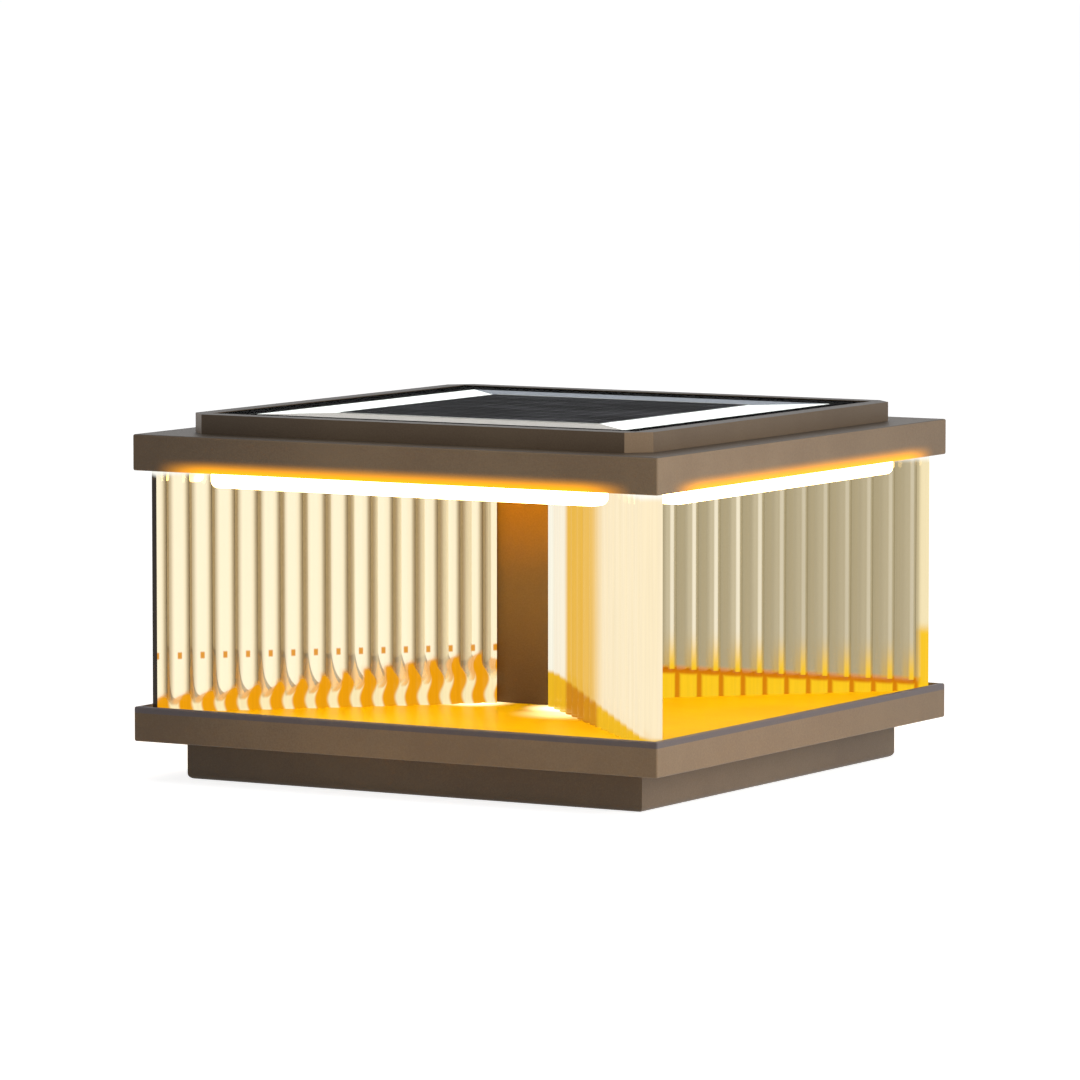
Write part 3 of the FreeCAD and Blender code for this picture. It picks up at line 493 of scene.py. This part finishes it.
def backsheetMaterial():
    material, tree, coords = newMaterial("panelBacksheet")
    x, y = axes(tree, coords)[:2]
    # painted light and shade by side: white on the sides, greyer at the front, darker at the back, all with a
    # painted glow
    onSide = calc(tree, "GREATER_THAN", absolute(tree, x), absolute(tree, y))
    atBack = calc(tree, "GREATER_THAN", y, 0.0)
    ends = blendColor(tree, atBack, rgb(*panel["bandFrontShade"]), rgb(*panel["bandBackShade"]))
    color = blendColor(tree, onSide, ends, rgb(*panel["bandLitSides"]))
    fine = noise(tree, coords, panel["bandGrain"], 3.0)
    specks = ramp(tree, fine, 0.3, 0.7, 0.0, panel["bandSpeckShare"])
    color = blendColor(tree, specks, color, panel["bandSpeck"])
    return coated(material, {
        "Base Color": color, "Roughness": panel["bandRoughness"], "Specular IOR Level": panel["bandShine"],
        "Emission Color": color, "Emission Strength": panel["bandPaintedGlow"]})


def glassMaterial():
    material, tree, coords = newMaterial("panelGlass")
    dust = noise(tree, coords, panel["dust"], 4.0)
    rough = panel["glassRoughness"]
    rough = ramp(tree, dust, 0.35, 0.7, rough, rough + panel["dustRoughness"])
    bent = addNode(tree, "ShaderNodeBsdfRefraction", {
        "Color": panel["glassTint"], "Roughness": 0.0, "IOR": panel["glassBend"]})
    gloss = addNode(tree, "ShaderNodeBsdfGlossy", {"Color": (1.0, 1.0, 1.0, 1.0), "Roughness": rough})
    glass = addNode(tree, "ShaderNodeMixShader", {0: panel["glassGloss"], 1: bent.outputs[0],
                                                  2: gloss.outputs[0]})
    return closeMaterial(material, shadowClear(tree, glass, panel["glassShadow"]))


wear("solar_cells", cellMaterial())
wear("cell_board", backsheetMaterial())
wear("panel_glass", glassMaterial())


# Silicone seals and pads
silicone = {"color": (236, 232, 222), "shade": (222, 216, 204), "haze": 500, "roughness": 0.35,
            "clearness": 0.5, "ior": 1.41}


def siliconeMaterial():
    material, tree, coords = newMaterial("clearSilicone")
    haze = noise(tree, coords, silicone["haze"], 3.0)
    color = blendColor(tree, ramp(tree, haze, 0.3, 0.7), rgb(*silicone["color"]), rgb(*silicone["shade"]))
    return coated(material, {"Base Color": color, "Roughness": silicone["roughness"],
                             "Transmission Weight": silicone["clearness"], "IOR": silicone["ior"]})


clearSilicone = siliconeMaterial()
for node, slot in slotOf.items():
    if slot == "clear_silicone":
        wear(node, clearSilicone)
print("panel and bars ready")


# Ribbed acrylic plates, on the diagonals from the column's corners to just inside the lamp's corners
ribbed = {
    "reach": 0.125 * math.sqrt(2) - 0.009, "start": 0.0155 * math.sqrt(2) + 0.0004,
    "pitch": 0.00965, "grooveHalf": 0.0022, "rise": 0.0025, "steps": 24,
    "tenonNear": 0.055, "tenonFar": 0.130, "tenonLength": 0.028, "tenonThickness": 0.004,
    "tenonDepth": 0.0018, "sharpAngle": 35, "roughness": 0.03, "ior": 1.49, "endDepth": 0.00005,
    "grain": 900, "grainStretch": 0.02, "bump": 0.04, "bumpDepth": 0.0003,
    "shadow": (0.93, 0.91, 0.86, 1.0), "flicker": (0.97, 1.03),
}
# rib, groove and end tint the clear body with painted light and shade, the rest colours its painted glow;
# near, far and width are shares of a rib
plates = {
    "wing_front_left": {
        "angle": -135, "rib": (255, 244, 214), "groove": (164, 142, 106), "near": 0.12, "far": 0.32,
        "glowShare": 0.24, "glow": ((0.0, (252, 234, 194)),), "line": (124, 106, 78), "linePhase": 0.5,
        "lineNear": 0.07, "lineFar": 0.23, "lineFade": 1.0, "end": (38, 31, 24), "endVeil": 0.95,
        "dots": 0.0522, "foot": (0.0215, 0.0060), "footGroove": (240, 160, 14),
        "footCrest": (255, 240, 190), "footSway": (0.09, 0.0140, 0.16),
        "footNear": 0.24, "footWidth": 0.38, "footRim": 0.0, "footSpike": 0.0, "footDip": 0.5,
        "footVeil": 0.92},
    "wing_front_right": {
        "angle": -45, "rib": (255, 246, 220), "groove": (248, 226, 170), "near": 0.1, "far": 0.3,
        "glowShare": 0.8,
        "glow": ((0.0, (255, 252, 236)), (0.034, (236, 184, 66)), (0.084, (253, 237, 203), 0.012)),
        "line": (255, 238, 190), "linePhase": 0.5, "lineNear": 0.02, "lineFar": 0.16, "lineFade": 1.0,
        "end": (254, 240, 208), "gold": (0.0150, 0.0022), "goldDark": ((0.031, 0.037), (0.080, 0.088)),
        "goldVeil": 0.78, "across": (3.434, 2.020)},
    "wing_back_right": {
        "angle": 45, "rib": (214, 200, 168), "groove": (206, 194, 166), "near": 0.05, "far": 0.2,
        "glowShare": 0.5, "glow": ((0.0, (160, 147, 112)), (0.1640, (255, 240, 196), 0.0008)),
        "line": (255, 246, 222), "linePhase": 0.77, "lineNear": 0.05, "lineFar": 0.14, "lineFade": 0.4,
        "end": (255, 246, 222), "foot": (0.0146, 0.0042), "footGroove": (216, 124, 10),
        "footCrest": (255, 204, 34), "footNear": 0.05, "footWidth": 0.18, "footRim": 1.0,
        "footSpike": 0.0190, "footDip": 0.0, "footVeil": 0.86, "tip": (0.1640, 0.027)},
    "wing_back_left": {
        "angle": 135, "rib": (255, 246, 218), "groove": (190, 170, 132), "near": 0.12, "far": 0.32,
        "glowShare": 0.15, "glow": ((0.0, (255, 240, 206)),), "line": (150, 130, 92), "linePhase": 0.5,
        "lineNear": 0.06, "lineFar": 0.22, "lineFade": 1.0, "end": (255, 246, 222)},
}
# Painted glow on the plates near the floor and under the cap, standing in for the bars' light, and where each
# part of it fades
paintedPlateLight = {
    "soft": 0.004, "lineReach": (0.085, 0.110),
    "gold": (243, 190, 40), "shade": (206, 134, 30), "goldSoft": 0.0012, "goldRise": (0.002, 0.022),
    "dot": (226, 148, 36), "dotVeil": 0.95, "dotHeight": (0.0010, 0.0020), "dotWidth": (0.37, 0.43),
    "flameDip": (0.06, 0.42), "flameEdge": (0.0004, 0.0022), "flameRim": (0.0011, 0.0028),
    "flameVeil": (-0.0010, 0.0006), "spikeWidth": (0.07, 0.20), "leastSpike": 0.0001,
    "tipVeil": 0.8, "tipSide": 0.001, "tipTop": 0.003,
    "top": (1.0, 0.98, 0.9, 1.0), "topVeil": 0.9, "topReach": (0.0036, 0.0008),
}


def socketNamed(tree, name):
    return next(item.identifier for item in tree.interface.items_tree if item.name == name)


# A closed plate along +X whose faces follow one arc per rib, with two tenons above and two below
def plateTree():
    tree = bpy.data.node_groups.new("ribbedPlate", "GeometryNodeTree")
    for name in ("reach", "start", "pitch", "grooveHalf", "rise", "low", "high", "angle",
                 "tenonNear", "tenonFar", "tenonLength", "tenonThickness", "tenonDepth"):
        tree.interface.new_socket(name, in_out="INPUT", socket_type="NodeSocketFloat")
    tree.interface.new_socket("steps", in_out="INPUT", socket_type="NodeSocketInt")
    tree.interface.new_socket("material", in_out="INPUT", socket_type="NodeSocketMaterial")
    tree.interface.new_socket("geometry", in_out="OUTPUT", socket_type="NodeSocketGeometry")
    given = tree.nodes.new("NodeGroupInput").outputs
    step = calc(tree, "DIVIDE", given["pitch"], given["steps"])
    span = calc(tree, "SUBTRACT", given["reach"], given["start"])
    cells = calc(tree, "CEIL", calc(tree, "DIVIDE", span, step))
    height = calc(tree, "SUBTRACT", given["high"], given["low"])
    count = calc(tree, "ADD", cells, 1.0)
    box = addNode(tree, "GeometryNodeMeshCube", {"Size": (1.0, 1.0, 1.0), "Vertices X": count})
    place = addNode(tree, "ShaderNodeSeparateXYZ", {0: addNode(tree, "GeometryNodeInputPosition").outputs[0]})
    index = calc(tree, "ROUND", calc(tree, "MULTIPLY", calc(tree, "SUBTRACT", 0.5, place.outputs[0]), cells))
    along = calc(tree, "SUBTRACT", given["reach"], calc(tree, "MULTIPLY", index, step))
    along = calc(tree, "MAXIMUM", along, given["start"])
    turns = calc(tree, "DIVIDE", calc(tree, "SUBTRACT", given["reach"], along), given["pitch"])
    offset = calc(tree, "SUBTRACT", calc(tree, "FRACT", calc(tree, "ADD", turns, 0.5)), 0.5)
    offset = calc(tree, "MULTIPLY", offset, given["pitch"])
    half = calc(tree, "MULTIPLY", given["pitch"], 0.5)
    rise = calc(tree, "MULTIPLY", given["rise"], given["rise"])
    squares = calc(tree, "ADD", calc(tree, "MULTIPLY", half, half), rise)
    radius = calc(tree, "DIVIDE", squares, calc(tree, "MULTIPLY", given["rise"], 2.0))
    arc = calc(tree, "SQRT", calc(tree, "SUBTRACT", calc(tree, "MULTIPLY", radius, radius),
                                  calc(tree, "MULTIPLY", offset, offset)))
    out = calc(tree, "ADD", calc(tree, "SUBTRACT", arc, radius), given["rise"])
    out = calc(tree, "ADD", out, given["grooveHalf"])
    side = calc(tree, "MULTIPLY", calc(tree, "SIGN", place.outputs[1]), out)
    level = calc(tree, "MULTIPLY_ADD", calc(tree, "ADD", place.outputs[2], 0.5), height, given["low"])
    where = addNode(tree, "ShaderNodeCombineXYZ", {0: along, 1: side, 2: level})
    plate = addNode(tree, "GeometryNodeSetPosition", {"Geometry": box.outputs["Mesh"],
                                                      "Position": where.outputs[0]})
    middles = addNode(tree, "ShaderNodeCombineXYZ", {0: given["tenonNear"]})
    apart = addNode(tree, "ShaderNodeCombineXYZ", {
        0: calc(tree, "SUBTRACT", given["tenonFar"], given["tenonNear"])})
    line = addNode(tree, "GeometryNodeMeshLine", {"Count": 2, "Start Location": middles.outputs[0],
                                                  "Offset": apart.outputs[0]})
    tenonSize = addNode(tree, "ShaderNodeCombineXYZ", {0: given["tenonLength"], 1: given["tenonThickness"],
                                                       2: given["tenonDepth"]})
    tenon = addNode(tree, "GeometryNodeMeshCube", {"Size": tenonSize.outputs[0]})
    pair = addNode(tree, "GeometryNodeInstanceOnPoints", {"Points": line.outputs[0],
                                                          "Instance": tenon.outputs["Mesh"]})
    joinAll = tree.nodes.new("GeometryNodeJoinGeometry")
    tree.links.new(plate.outputs[0], joinAll.inputs[0])
    halfDepth = calc(tree, "MULTIPLY", given["tenonDepth"], 0.5)
    for level, way in (("low", "SUBTRACT"), ("high", "ADD")):
        lift = addNode(tree, "ShaderNodeCombineXYZ", {2: calc(tree, way, given[level], halfDepth)})
        copy = addNode(tree, "GeometryNodeTransform", {"Geometry": pair.outputs[0],
                                                       "Translation": lift.outputs[0]})
        tree.links.new(copy.outputs[0], joinAll.inputs[0])
    turn = addNode(tree, "ShaderNodeCombineXYZ", {2: given["angle"]})
    turned = addNode(tree, "GeometryNodeTransform", {"Geometry": joinAll.outputs[0],
                                                     "Rotation": turn.outputs[0]})
    real = addNode(tree, "GeometryNodeRealizeInstances", {0: turned.outputs[0]})
    smooth = addNode(tree, "GeometryNodeSetShadeSmooth", {"Geometry": real.outputs[0], "Shade Smooth": True})
    angle = addNode(tree, "GeometryNodeInputMeshEdgeAngle").outputs[0]
    sharp = addNode(tree, "FunctionNodeCompare", {"A": angle, "B": math.radians(ribbed["sharpAngle"])},
                    operation="GREATER_THAN")
    crisp = addNode(tree, "GeometryNodeSetShadeSmooth", {
        "Geometry": smooth.outputs[0], "Selection": sharp.outputs[0], "Shade Smooth": False}, domain="EDGE")
    done = addNode(tree, "GeometryNodeSetMaterial", {"Geometry": crisp.outputs[0],
                                                     "Material": given["material"]})
    addNode(tree, "NodeGroupOutput", {0: done.outputs[0]})
    return tree


# Clear warm acrylic: a tinted clear body with painted light and shade, under a faint painted glow that stands
# in for the bars' light in the plates
def plateMaterial(name, look):
    material, tree, coords = newMaterial(name)
    angle = math.radians(look["angle"])
    along = dot(tree, coords, (math.cos(angle), math.sin(angle), 0.0))
    turns = calc(tree, "DIVIDE", calc(tree, "SUBTRACT", ribbed["reach"], along), ribbed["pitch"])
    crest = absolute(tree, calc(tree, "SUBTRACT", calc(tree, "FRACT", turns), 0.5))  # 0 groove, 0.5 crest
    z = axes(tree, coords)[2]
    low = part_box("floor_sheet")[1].z
    atEnd = calc(tree, "GREATER_THAN", along, ribbed["reach"] - ribbed["endDepth"])  # the outer end face
    # painted shade in the grooves, and the end face in its painted colour
    color = blendColor(tree, ramp(tree, crest, look["near"], look["far"]), rgb(*look["groove"]),
                       rgb(*look["rib"]))
    color = blendColor(tree, atEnd, color, rgb(*look["end"]))
    # painted glow colour across the plate, then painted lines along the ribs: shade on the left plates,
    # highlights on the right plates
    across = look.get("across", (math.cos(angle), math.sin(angle)))
    way = dot(tree, coords, (*across, 0.0))
    glow = rgb(*look["glow"][0][1])
    for place, after, *soft in look["glow"][1:]:
        reach = soft[0] if soft else paintedPlateLight["soft"]
        glow = blendColor(tree, ramp(tree, way, place - reach, place + reach), glow, rgb(*after))
    line = calc(tree, "FRACT", calc(tree, "ADD", turns, 0.5 - look["linePhase"]))
    line = absolute(tree, calc(tree, "SUBTRACT", line, 0.5))
    fade = ramp(tree, along, *paintedPlateLight["lineReach"], 1.0, look["lineFade"])
    streak = calc(tree, "MULTIPLY", ramp(tree, line, look["lineNear"], look["lineFar"], 1.0, 0.0), fade)
    glow = blendColor(tree, streak, glow, rgb(*look["line"]))
    level = calc(tree, "SUBTRACT", z, low)
    glowShare = look["glowShare"]
    # painted reflection of the golden floor low on the plate, with painted shade in two bands and more glow
    # there
    if "gold" in look:
        share = ramp(tree, way, ribbed["start"], ribbed["reach"], *look["gold"], smooth=False)
        soft = paintedPlateLight["goldSoft"]
        under = ramp(tree, calc(tree, "SUBTRACT", level, share), -soft, soft, 1.0, 0.0)
        glow = blendColor(tree, under, glow, rgb(*paintedPlateLight["gold"]))
        first, last = look["goldDark"]
        dark = calc(tree, "MULTIPLY", ramp(tree, way, *first), ramp(tree, way, *last, 1.0, 0.0))
        glow = blendColor(tree, calc(tree, "MULTIPLY", dark, under), glow, rgb(*paintedPlateLight["shade"]))
        glowShare = ramp(tree, level, *paintedPlateLight["goldRise"], look["goldVeil"], glowShare)
    # painted light: orange dots along the crests at one height, on one face only
    if "dots" in look:
        high = absolute(tree, calc(tree, "SUBTRACT", z, look["dots"]))
        mark = calc(tree, "MULTIPLY", ramp(tree, high, *paintedPlateLight["dotHeight"], 1.0, 0.0),
                    ramp(tree, crest, *paintedPlateLight["dotWidth"]))
        face = dot(tree, coords, (-math.sin(angle), math.cos(angle), 0.0))
        mark = calc(tree, "MULTIPLY", mark, calc(tree, "GREATER_THAN", face, 0.0))
        glow = blendColor(tree, mark, glow, rgb(*paintedPlateLight["dot"]))
        glowShare = calc(tree, "MAXIMUM", calc(tree, "MULTIPLY", mark, paintedPlateLight["dotVeil"]), glowShare)
    # painted flames of the bars' light rising from the floor along each rib, with a painted rim and painted
    # highlight spikes
    if "foot" in look:
        share = ramp(tree, along, ribbed["start"], ribbed["reach"], *look["foot"], smooth=False)
        sway, wave, lean = look.get("footSway", (0.0, 1.0, 0.0))
        swayed = calc(tree, "SINE", calc(tree, "MULTIPLY", level, 2 * math.pi / wave))
        swayed = calc(tree, "ADD", calc(tree, "ADD", turns, calc(tree, "MULTIPLY", swayed, sway)), lean)
        peg = absolute(tree, calc(tree, "SUBTRACT", calc(tree, "FRACT", swayed), 0.5))
        dip = ramp(tree, peg, *paintedPlateLight["flameDip"], 1.0, 1.0 - look["footDip"])
        share = calc(tree, "MULTIPLY", share, dip)
        above = calc(tree, "SUBTRACT", level, share)
        inside = ramp(tree, above, *paintedPlateLight["flameEdge"], 1.0, 0.0)
        rim = ramp(tree, absolute(tree, above), *paintedPlateLight["flameRim"], look["footRim"], 0.0)
        lines = calc(tree, "MAXIMUM", rim, ramp(tree, peg, look["footNear"], look["footWidth"], 1.0, 0.0))
        flame = blendColor(tree, lines, rgb(*look["footCrest"]), rgb(*look["footGroove"]))
        spike = calc(tree, "MULTIPLY", ramp(tree, line, *paintedPlateLight["spikeWidth"], 1.0, 0.0),
                     ramp(tree, above, 0.0, max(look["footSpike"], paintedPlateLight["leastSpike"]), 1.0, 0.0))
        spike = calc(tree, "MULTIPLY", spike, calc(tree, "GREATER_THAN", above, 0.0))
        part = calc(tree, "MAXIMUM", ramp(tree, above, *paintedPlateLight["flameVeil"], 1.0, 0.0), spike)
        glow = blendColor(tree, inside, glow, flame)
        glow = blendColor(tree, spike, glow, rgb(*look["footCrest"]))
        change = calc(tree, "MULTIPLY", part, look["footVeil"] - look["glowShare"])
        glowShare = calc(tree, "ADD", glowShare, change)
    # painted highlight: a light strip low near the plate's outer end
    if "tip" in look:
        far, height = look["tip"]
        side, rise = paintedPlateLight["tipSide"], paintedPlateLight["tipTop"]
        tip = calc(tree, "MULTIPLY", ramp(tree, along, far - side, far + side),
                   ramp(tree, level, height - rise, height + rise, 1.0, 0.0))
        glow = blendColor(tree, tip, glow, rgb(*look["footCrest"]))
        glowShare = calc(tree, "MAXIMUM", calc(tree, "MULTIPLY", tip, paintedPlateLight["tipVeil"]), glowShare)
    # painted shade: the outer end face darkened, over the glow
    if "endVeil" in look:
        glow = blendColor(tree, atEnd, glow, rgb(*look["end"]))
        glowShare = calc(tree, "MAXIMUM", calc(tree, "MULTIPLY", atEnd, look["endVeil"]), glowShare)
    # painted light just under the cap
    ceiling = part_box("cap_shell")[0].z
    top = ramp(tree, z, *(ceiling - drop for drop in paintedPlateLight["topReach"]))
    glow = blendColor(tree, top, glow, paintedPlateLight["top"])
    glowShare = calc(tree, "ADD", glowShare, calc(tree, "MULTIPLY", top, paintedPlateLight["topVeil"] - look["glowShare"]))
    stretch = (1.0, 1.0, ribbed["grainStretch"])
    drawn = addNode(tree, "ShaderNodeMapping", {"Vector": coords, "Scale": stretch})
    fine = noise(tree, drawn.outputs[0], ribbed["grain"], 2.0)
    body = addNode(tree, "ShaderNodeBsdfPrincipled", {
        "Base Color": color, "Roughness": ribbed["roughness"], "IOR": ribbed["ior"],
        "Transmission Weight": 1.0, "Normal": bumped(tree, ribbed["bump"], fine, ribbed["bumpDepth"])})
    # the painted glow, as emission that flickers with the grain, mixed over the clear body by its share
    power = ramp(tree, fine, 0.3, 0.7, *ribbed["flicker"])
    lit = addNode(tree, "ShaderNodeEmission", {"Color": glow, "Strength": power})
    veiled = addNode(tree, "ShaderNodeMixShader", {0: glowShare, 1: body.outputs[0], 2: lit.outputs[0]})
    return closeMaterial(material, shadowClear(tree, veiled, ribbed["shadow"]))


# Runs a node tree with named values and gives its result as a plain object
def grown(tree, name, values, source=None):
    mesh = source or bpy.data.meshes.new(name)
    maker = bpy.data.objects.new(name + "Maker", mesh)
    bpy.context.scene.collection.objects.link(maker)
    modifier = maker.modifiers.new("grow", "NODES")
    modifier.node_group = tree
    for key, value in values.items():
        modifier[socketNamed(tree, key)] = value
    maker.update_tag()
    bpy.context.view_layer.update()
    graph = bpy.context.evaluated_depsgraph_get()
    made = bpy.data.meshes.new_from_object(maker.evaluated_get(graph))
    bpy.data.objects.remove(maker)
    made.name = name
    piece = bpy.data.objects.new(name, made)
    bpy.context.scene.collection.objects.link(piece)
    return piece


def makePlates():
    tree = plateTree()
    sizes = {key: ribbed[key] for key in ("reach", "start", "pitch", "grooveHalf", "rise", "tenonNear",
                                          "tenonFar", "tenonLength", "tenonThickness", "tenonDepth")}
    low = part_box("floor_sheet")[1].z
    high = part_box("cap_shell")[0].z
    for node, look in plates.items():
        material = plateMaterial(node + "Acrylic", look)
        values = dict(sizes, low=low, high=high, angle=math.radians(look["angle"]), steps=ribbed["steps"],
                      material=material)
        piece = grown(tree, node.replace("wing", "plate"), values)
        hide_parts(node)
        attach(piece, "lamp")


makePlates()
print("ribbed plates ready")


# Screws whose heads show: a turned body with a six-sided socket, set on points by a node tree.
# The axis entry lists the ways that the heads may face.
screws = {
    "lock_screws": {"axis": ((0, 1, 0), (-1, 0, 0)), "head": 0.0038, "depth": 0.0024, "shank": 0.0020,
                    "socket": 0.0021},
    "ceiling_screws": {"axis": ((0, 0, -1),), "head": 0.0028, "depth": 0.0013, "shank": 0.0015,
                       "socket": 0.0014},
    "skirt_screws": {"axis": ((0, 0, -1),), "head": 0.0036, "depth": 0.0024, "shank": 0.0020,
                     "socket": 0.0020},
}
thread = {"pitch": 0.0007, "root": 0.82, "tip": 0.55, "tipLength": 0.6, "sides": 36, "spin": 1.0472}
# From the socket's floor to the shank: a size and its share, a share of the head's depth, six-sided or round
outline = (("socket", 0.96, 0.42, True), ("socket", 1.0, 0.92, True), ("socket", 1.12, 1.0, True),
           ("head", 0.80, 1.0, False), ("head", 0.93, 0.88, False), ("head", 1.0, 0.62, False),
           ("head", 1.0, 0.0, False), ("shank", 1.0, 0.0, False))


# One screw along +Z with its seat at zero and its head above
def screwMesh(name, look, length):
    rings = [(look[size] * share, look["depth"] * part, sided) for size, share, part, sided in outline]
    pitch, shank = thread["pitch"], look["shank"]
    level = 0.0
    while level - pitch > -length + shank * thread["tipLength"]:
        rings += [(shank * thread["root"], level - pitch * 0.5, False), (shank, level - pitch, False)]
        level -= pitch
    rings += [(shank * thread["tip"], -length, False)]
    count = thread["sides"]
    verts = [(0.0, 0.0, rings[0][1])]
    for radius, height, sided in rings:
        for step in range(count):
            angle = 2 * math.pi * step / count
            corner = math.cos(math.pi / 6) / math.cos((angle % (math.pi / 3)) - math.pi / 6)
            reach = radius * (corner if sided else 1.0)
            verts.append((reach * math.cos(angle), reach * math.sin(angle), height))
    verts.append((0.0, 0.0, -length))
    faces = [(0, 1 + step, 1 + (step + 1) % count) for step in range(count)]
    for ring in range(len(rings) - 1):
        low, high = 1 + ring * count, 1 + (ring + 1) * count
        for step in range(count):
            after = (step + 1) % count
            faces.append((low + step, high + step, high + after, low + after))
    last = 1 + (len(rings) - 1) * count
    faces += [(len(verts) - 1, last + (step + 1) % count, last + step) for step in range(count)]
    mesh = bpy.data.meshes.new(name)
    mesh.from_pydata(verts, [], faces)
    return mesh


def screwTree():
    tree = bpy.data.node_groups.new("screwSet", "GeometryNodeTree")
    tree.interface.new_socket("places", in_out="INPUT", socket_type="NodeSocketGeometry")
    tree.interface.new_socket("screw", in_out="INPUT", socket_type="NodeSocketObject")
    tree.interface.new_socket("material", in_out="INPUT", socket_type="NodeSocketMaterial")
    tree.interface.new_socket("geometry", in_out="OUTPUT", socket_type="NodeSocketGeometry")
    given = tree.nodes.new("NodeGroupInput").outputs
    screw = addNode(tree, "GeometryNodeObjectInfo", {"Object": given["screw"]})
    facing = addNode(tree, "GeometryNodeInputNamedAttribute", {"Name": "facing"}, data_type="FLOAT_VECTOR")
    turn = addNode(tree, "FunctionNodeAlignRotationToVector", {"Vector": facing.outputs[0]}, axis="Z")
    index = addNode(tree, "GeometryNodeInputIndex").outputs[0]
    spin = addNode(tree, "FunctionNodeRandomValue", {"Max": thread["spin"], "ID": index, "Seed": 3},
                   data_type="FLOAT")  # up to a sixth of a turn
    roll = addNode(tree, "FunctionNodeAxisAngleToRotation", {"Axis": (0.0, 0.0, 1.0),
                                                             "Angle": spin.outputs[1]})
    local = addNode(tree, "FunctionNodeRotateRotation", {
        "Rotation": turn.outputs[0], "Rotate By": roll.outputs[0]}, rotation_space="LOCAL")
    placed = addNode(tree, "GeometryNodeInstanceOnPoints", {
        "Points": given["places"], "Instance": screw.outputs["Geometry"], "Rotation": local.outputs[0]})
    real = addNode(tree, "GeometryNodeRealizeInstances", {0: placed.outputs[0]})
    done = addNode(tree, "GeometryNodeSetMaterial", {"Geometry": real.outputs[0],
                                                     "Material": given["material"]})
    addNode(tree, "NodeGroupOutput", {0: done.outputs[0]})
    return tree


# The low and high corners of each loose solid of a CAD node
def islands(node):
    mesh = nodes[node].data
    group = {}

    def root(key):
        while group.setdefault(key, key) != key:
            key = group[key]
        return key

    keys = [tuple(round(value, 6) for value in vertex.co) for vertex in mesh.vertices]  # to a micrometre
    for polygon in mesh.polygons:
        first = root(keys[polygon.vertices[0]])
        for index in polygon.vertices[1:]:
            group[root(keys[index])] = first
    boxes = {}
    for key in set(keys):
        low, high = boxes.setdefault(root(key), (list(key), list(key)))
        for axis in range(3):
            low[axis] = min(low[axis], key[axis])
            high[axis] = max(high[axis], key[axis])
    return [(Vector(low), Vector(high)) for low, high in boxes.values()]


def makeScrews():
    tree = screwTree()
    for node, look in screws.items():
        places, facings, length = [], [], 0.0
        for low, high in islands(node):
            size = high - low
            middle = (low + high) / 2
            outward = Vector((math.copysign(size.x, middle.x), math.copysign(size.y, middle.y), -size.z))
            facing = max((Vector(axis) for axis in look["axis"]), key=outward.dot)
            whole = abs(size.dot(facing))
            length = whole - look["depth"]
            places.append(middle + facing * (whole / 2 - look["depth"]))
            facings.append(facing)
        maker = bpy.data.objects.new(node + "Pattern", screwMesh(node + "Pattern", look, length))
        bpy.context.scene.collection.objects.link(maker)
        mesh = bpy.data.meshes.new(node + "Places")
        mesh.from_pydata(places, [], [])
        attribute = mesh.attributes.new("facing", "FLOAT_VECTOR", "POINT")
        for index, facing in enumerate(facings):
            attribute.data[index].vector = facing
        values = {"screw": maker, "material": finishes["screw_steel"]}
        piece = grown(tree, node.replace("_s", "S"), values, mesh)
        bpy.data.objects.remove(maker)
        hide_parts(node)
        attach(piece, "lamp")


makeScrews()
print("screws ready")


# The push switch's return spring, copied with its loose triangles merged; the real spring shortens as its
# button goes in, and this copy does not move
spring = {"joint": "button_press", "travel": 0.0015, "merge": 0.000001}


def makeSpring():
    mesh = nodes["switch_spring"].data.copy()
    shape = bmesh.new()
    shape.from_mesh(mesh)
    bmesh.ops.remove_doubles(shape, verts=shape.verts, dist=spring["merge"])  # its triangles come loose
    shape.to_mesh(mesh)
    shape.free()
    piece = bpy.data.objects.new("returnSpring", mesh)
    bpy.context.scene.collection.objects.link(piece)
    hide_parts("switch_spring")
    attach(piece, "lamp")
    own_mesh(piece)


makeSpring()
print("spring ready")
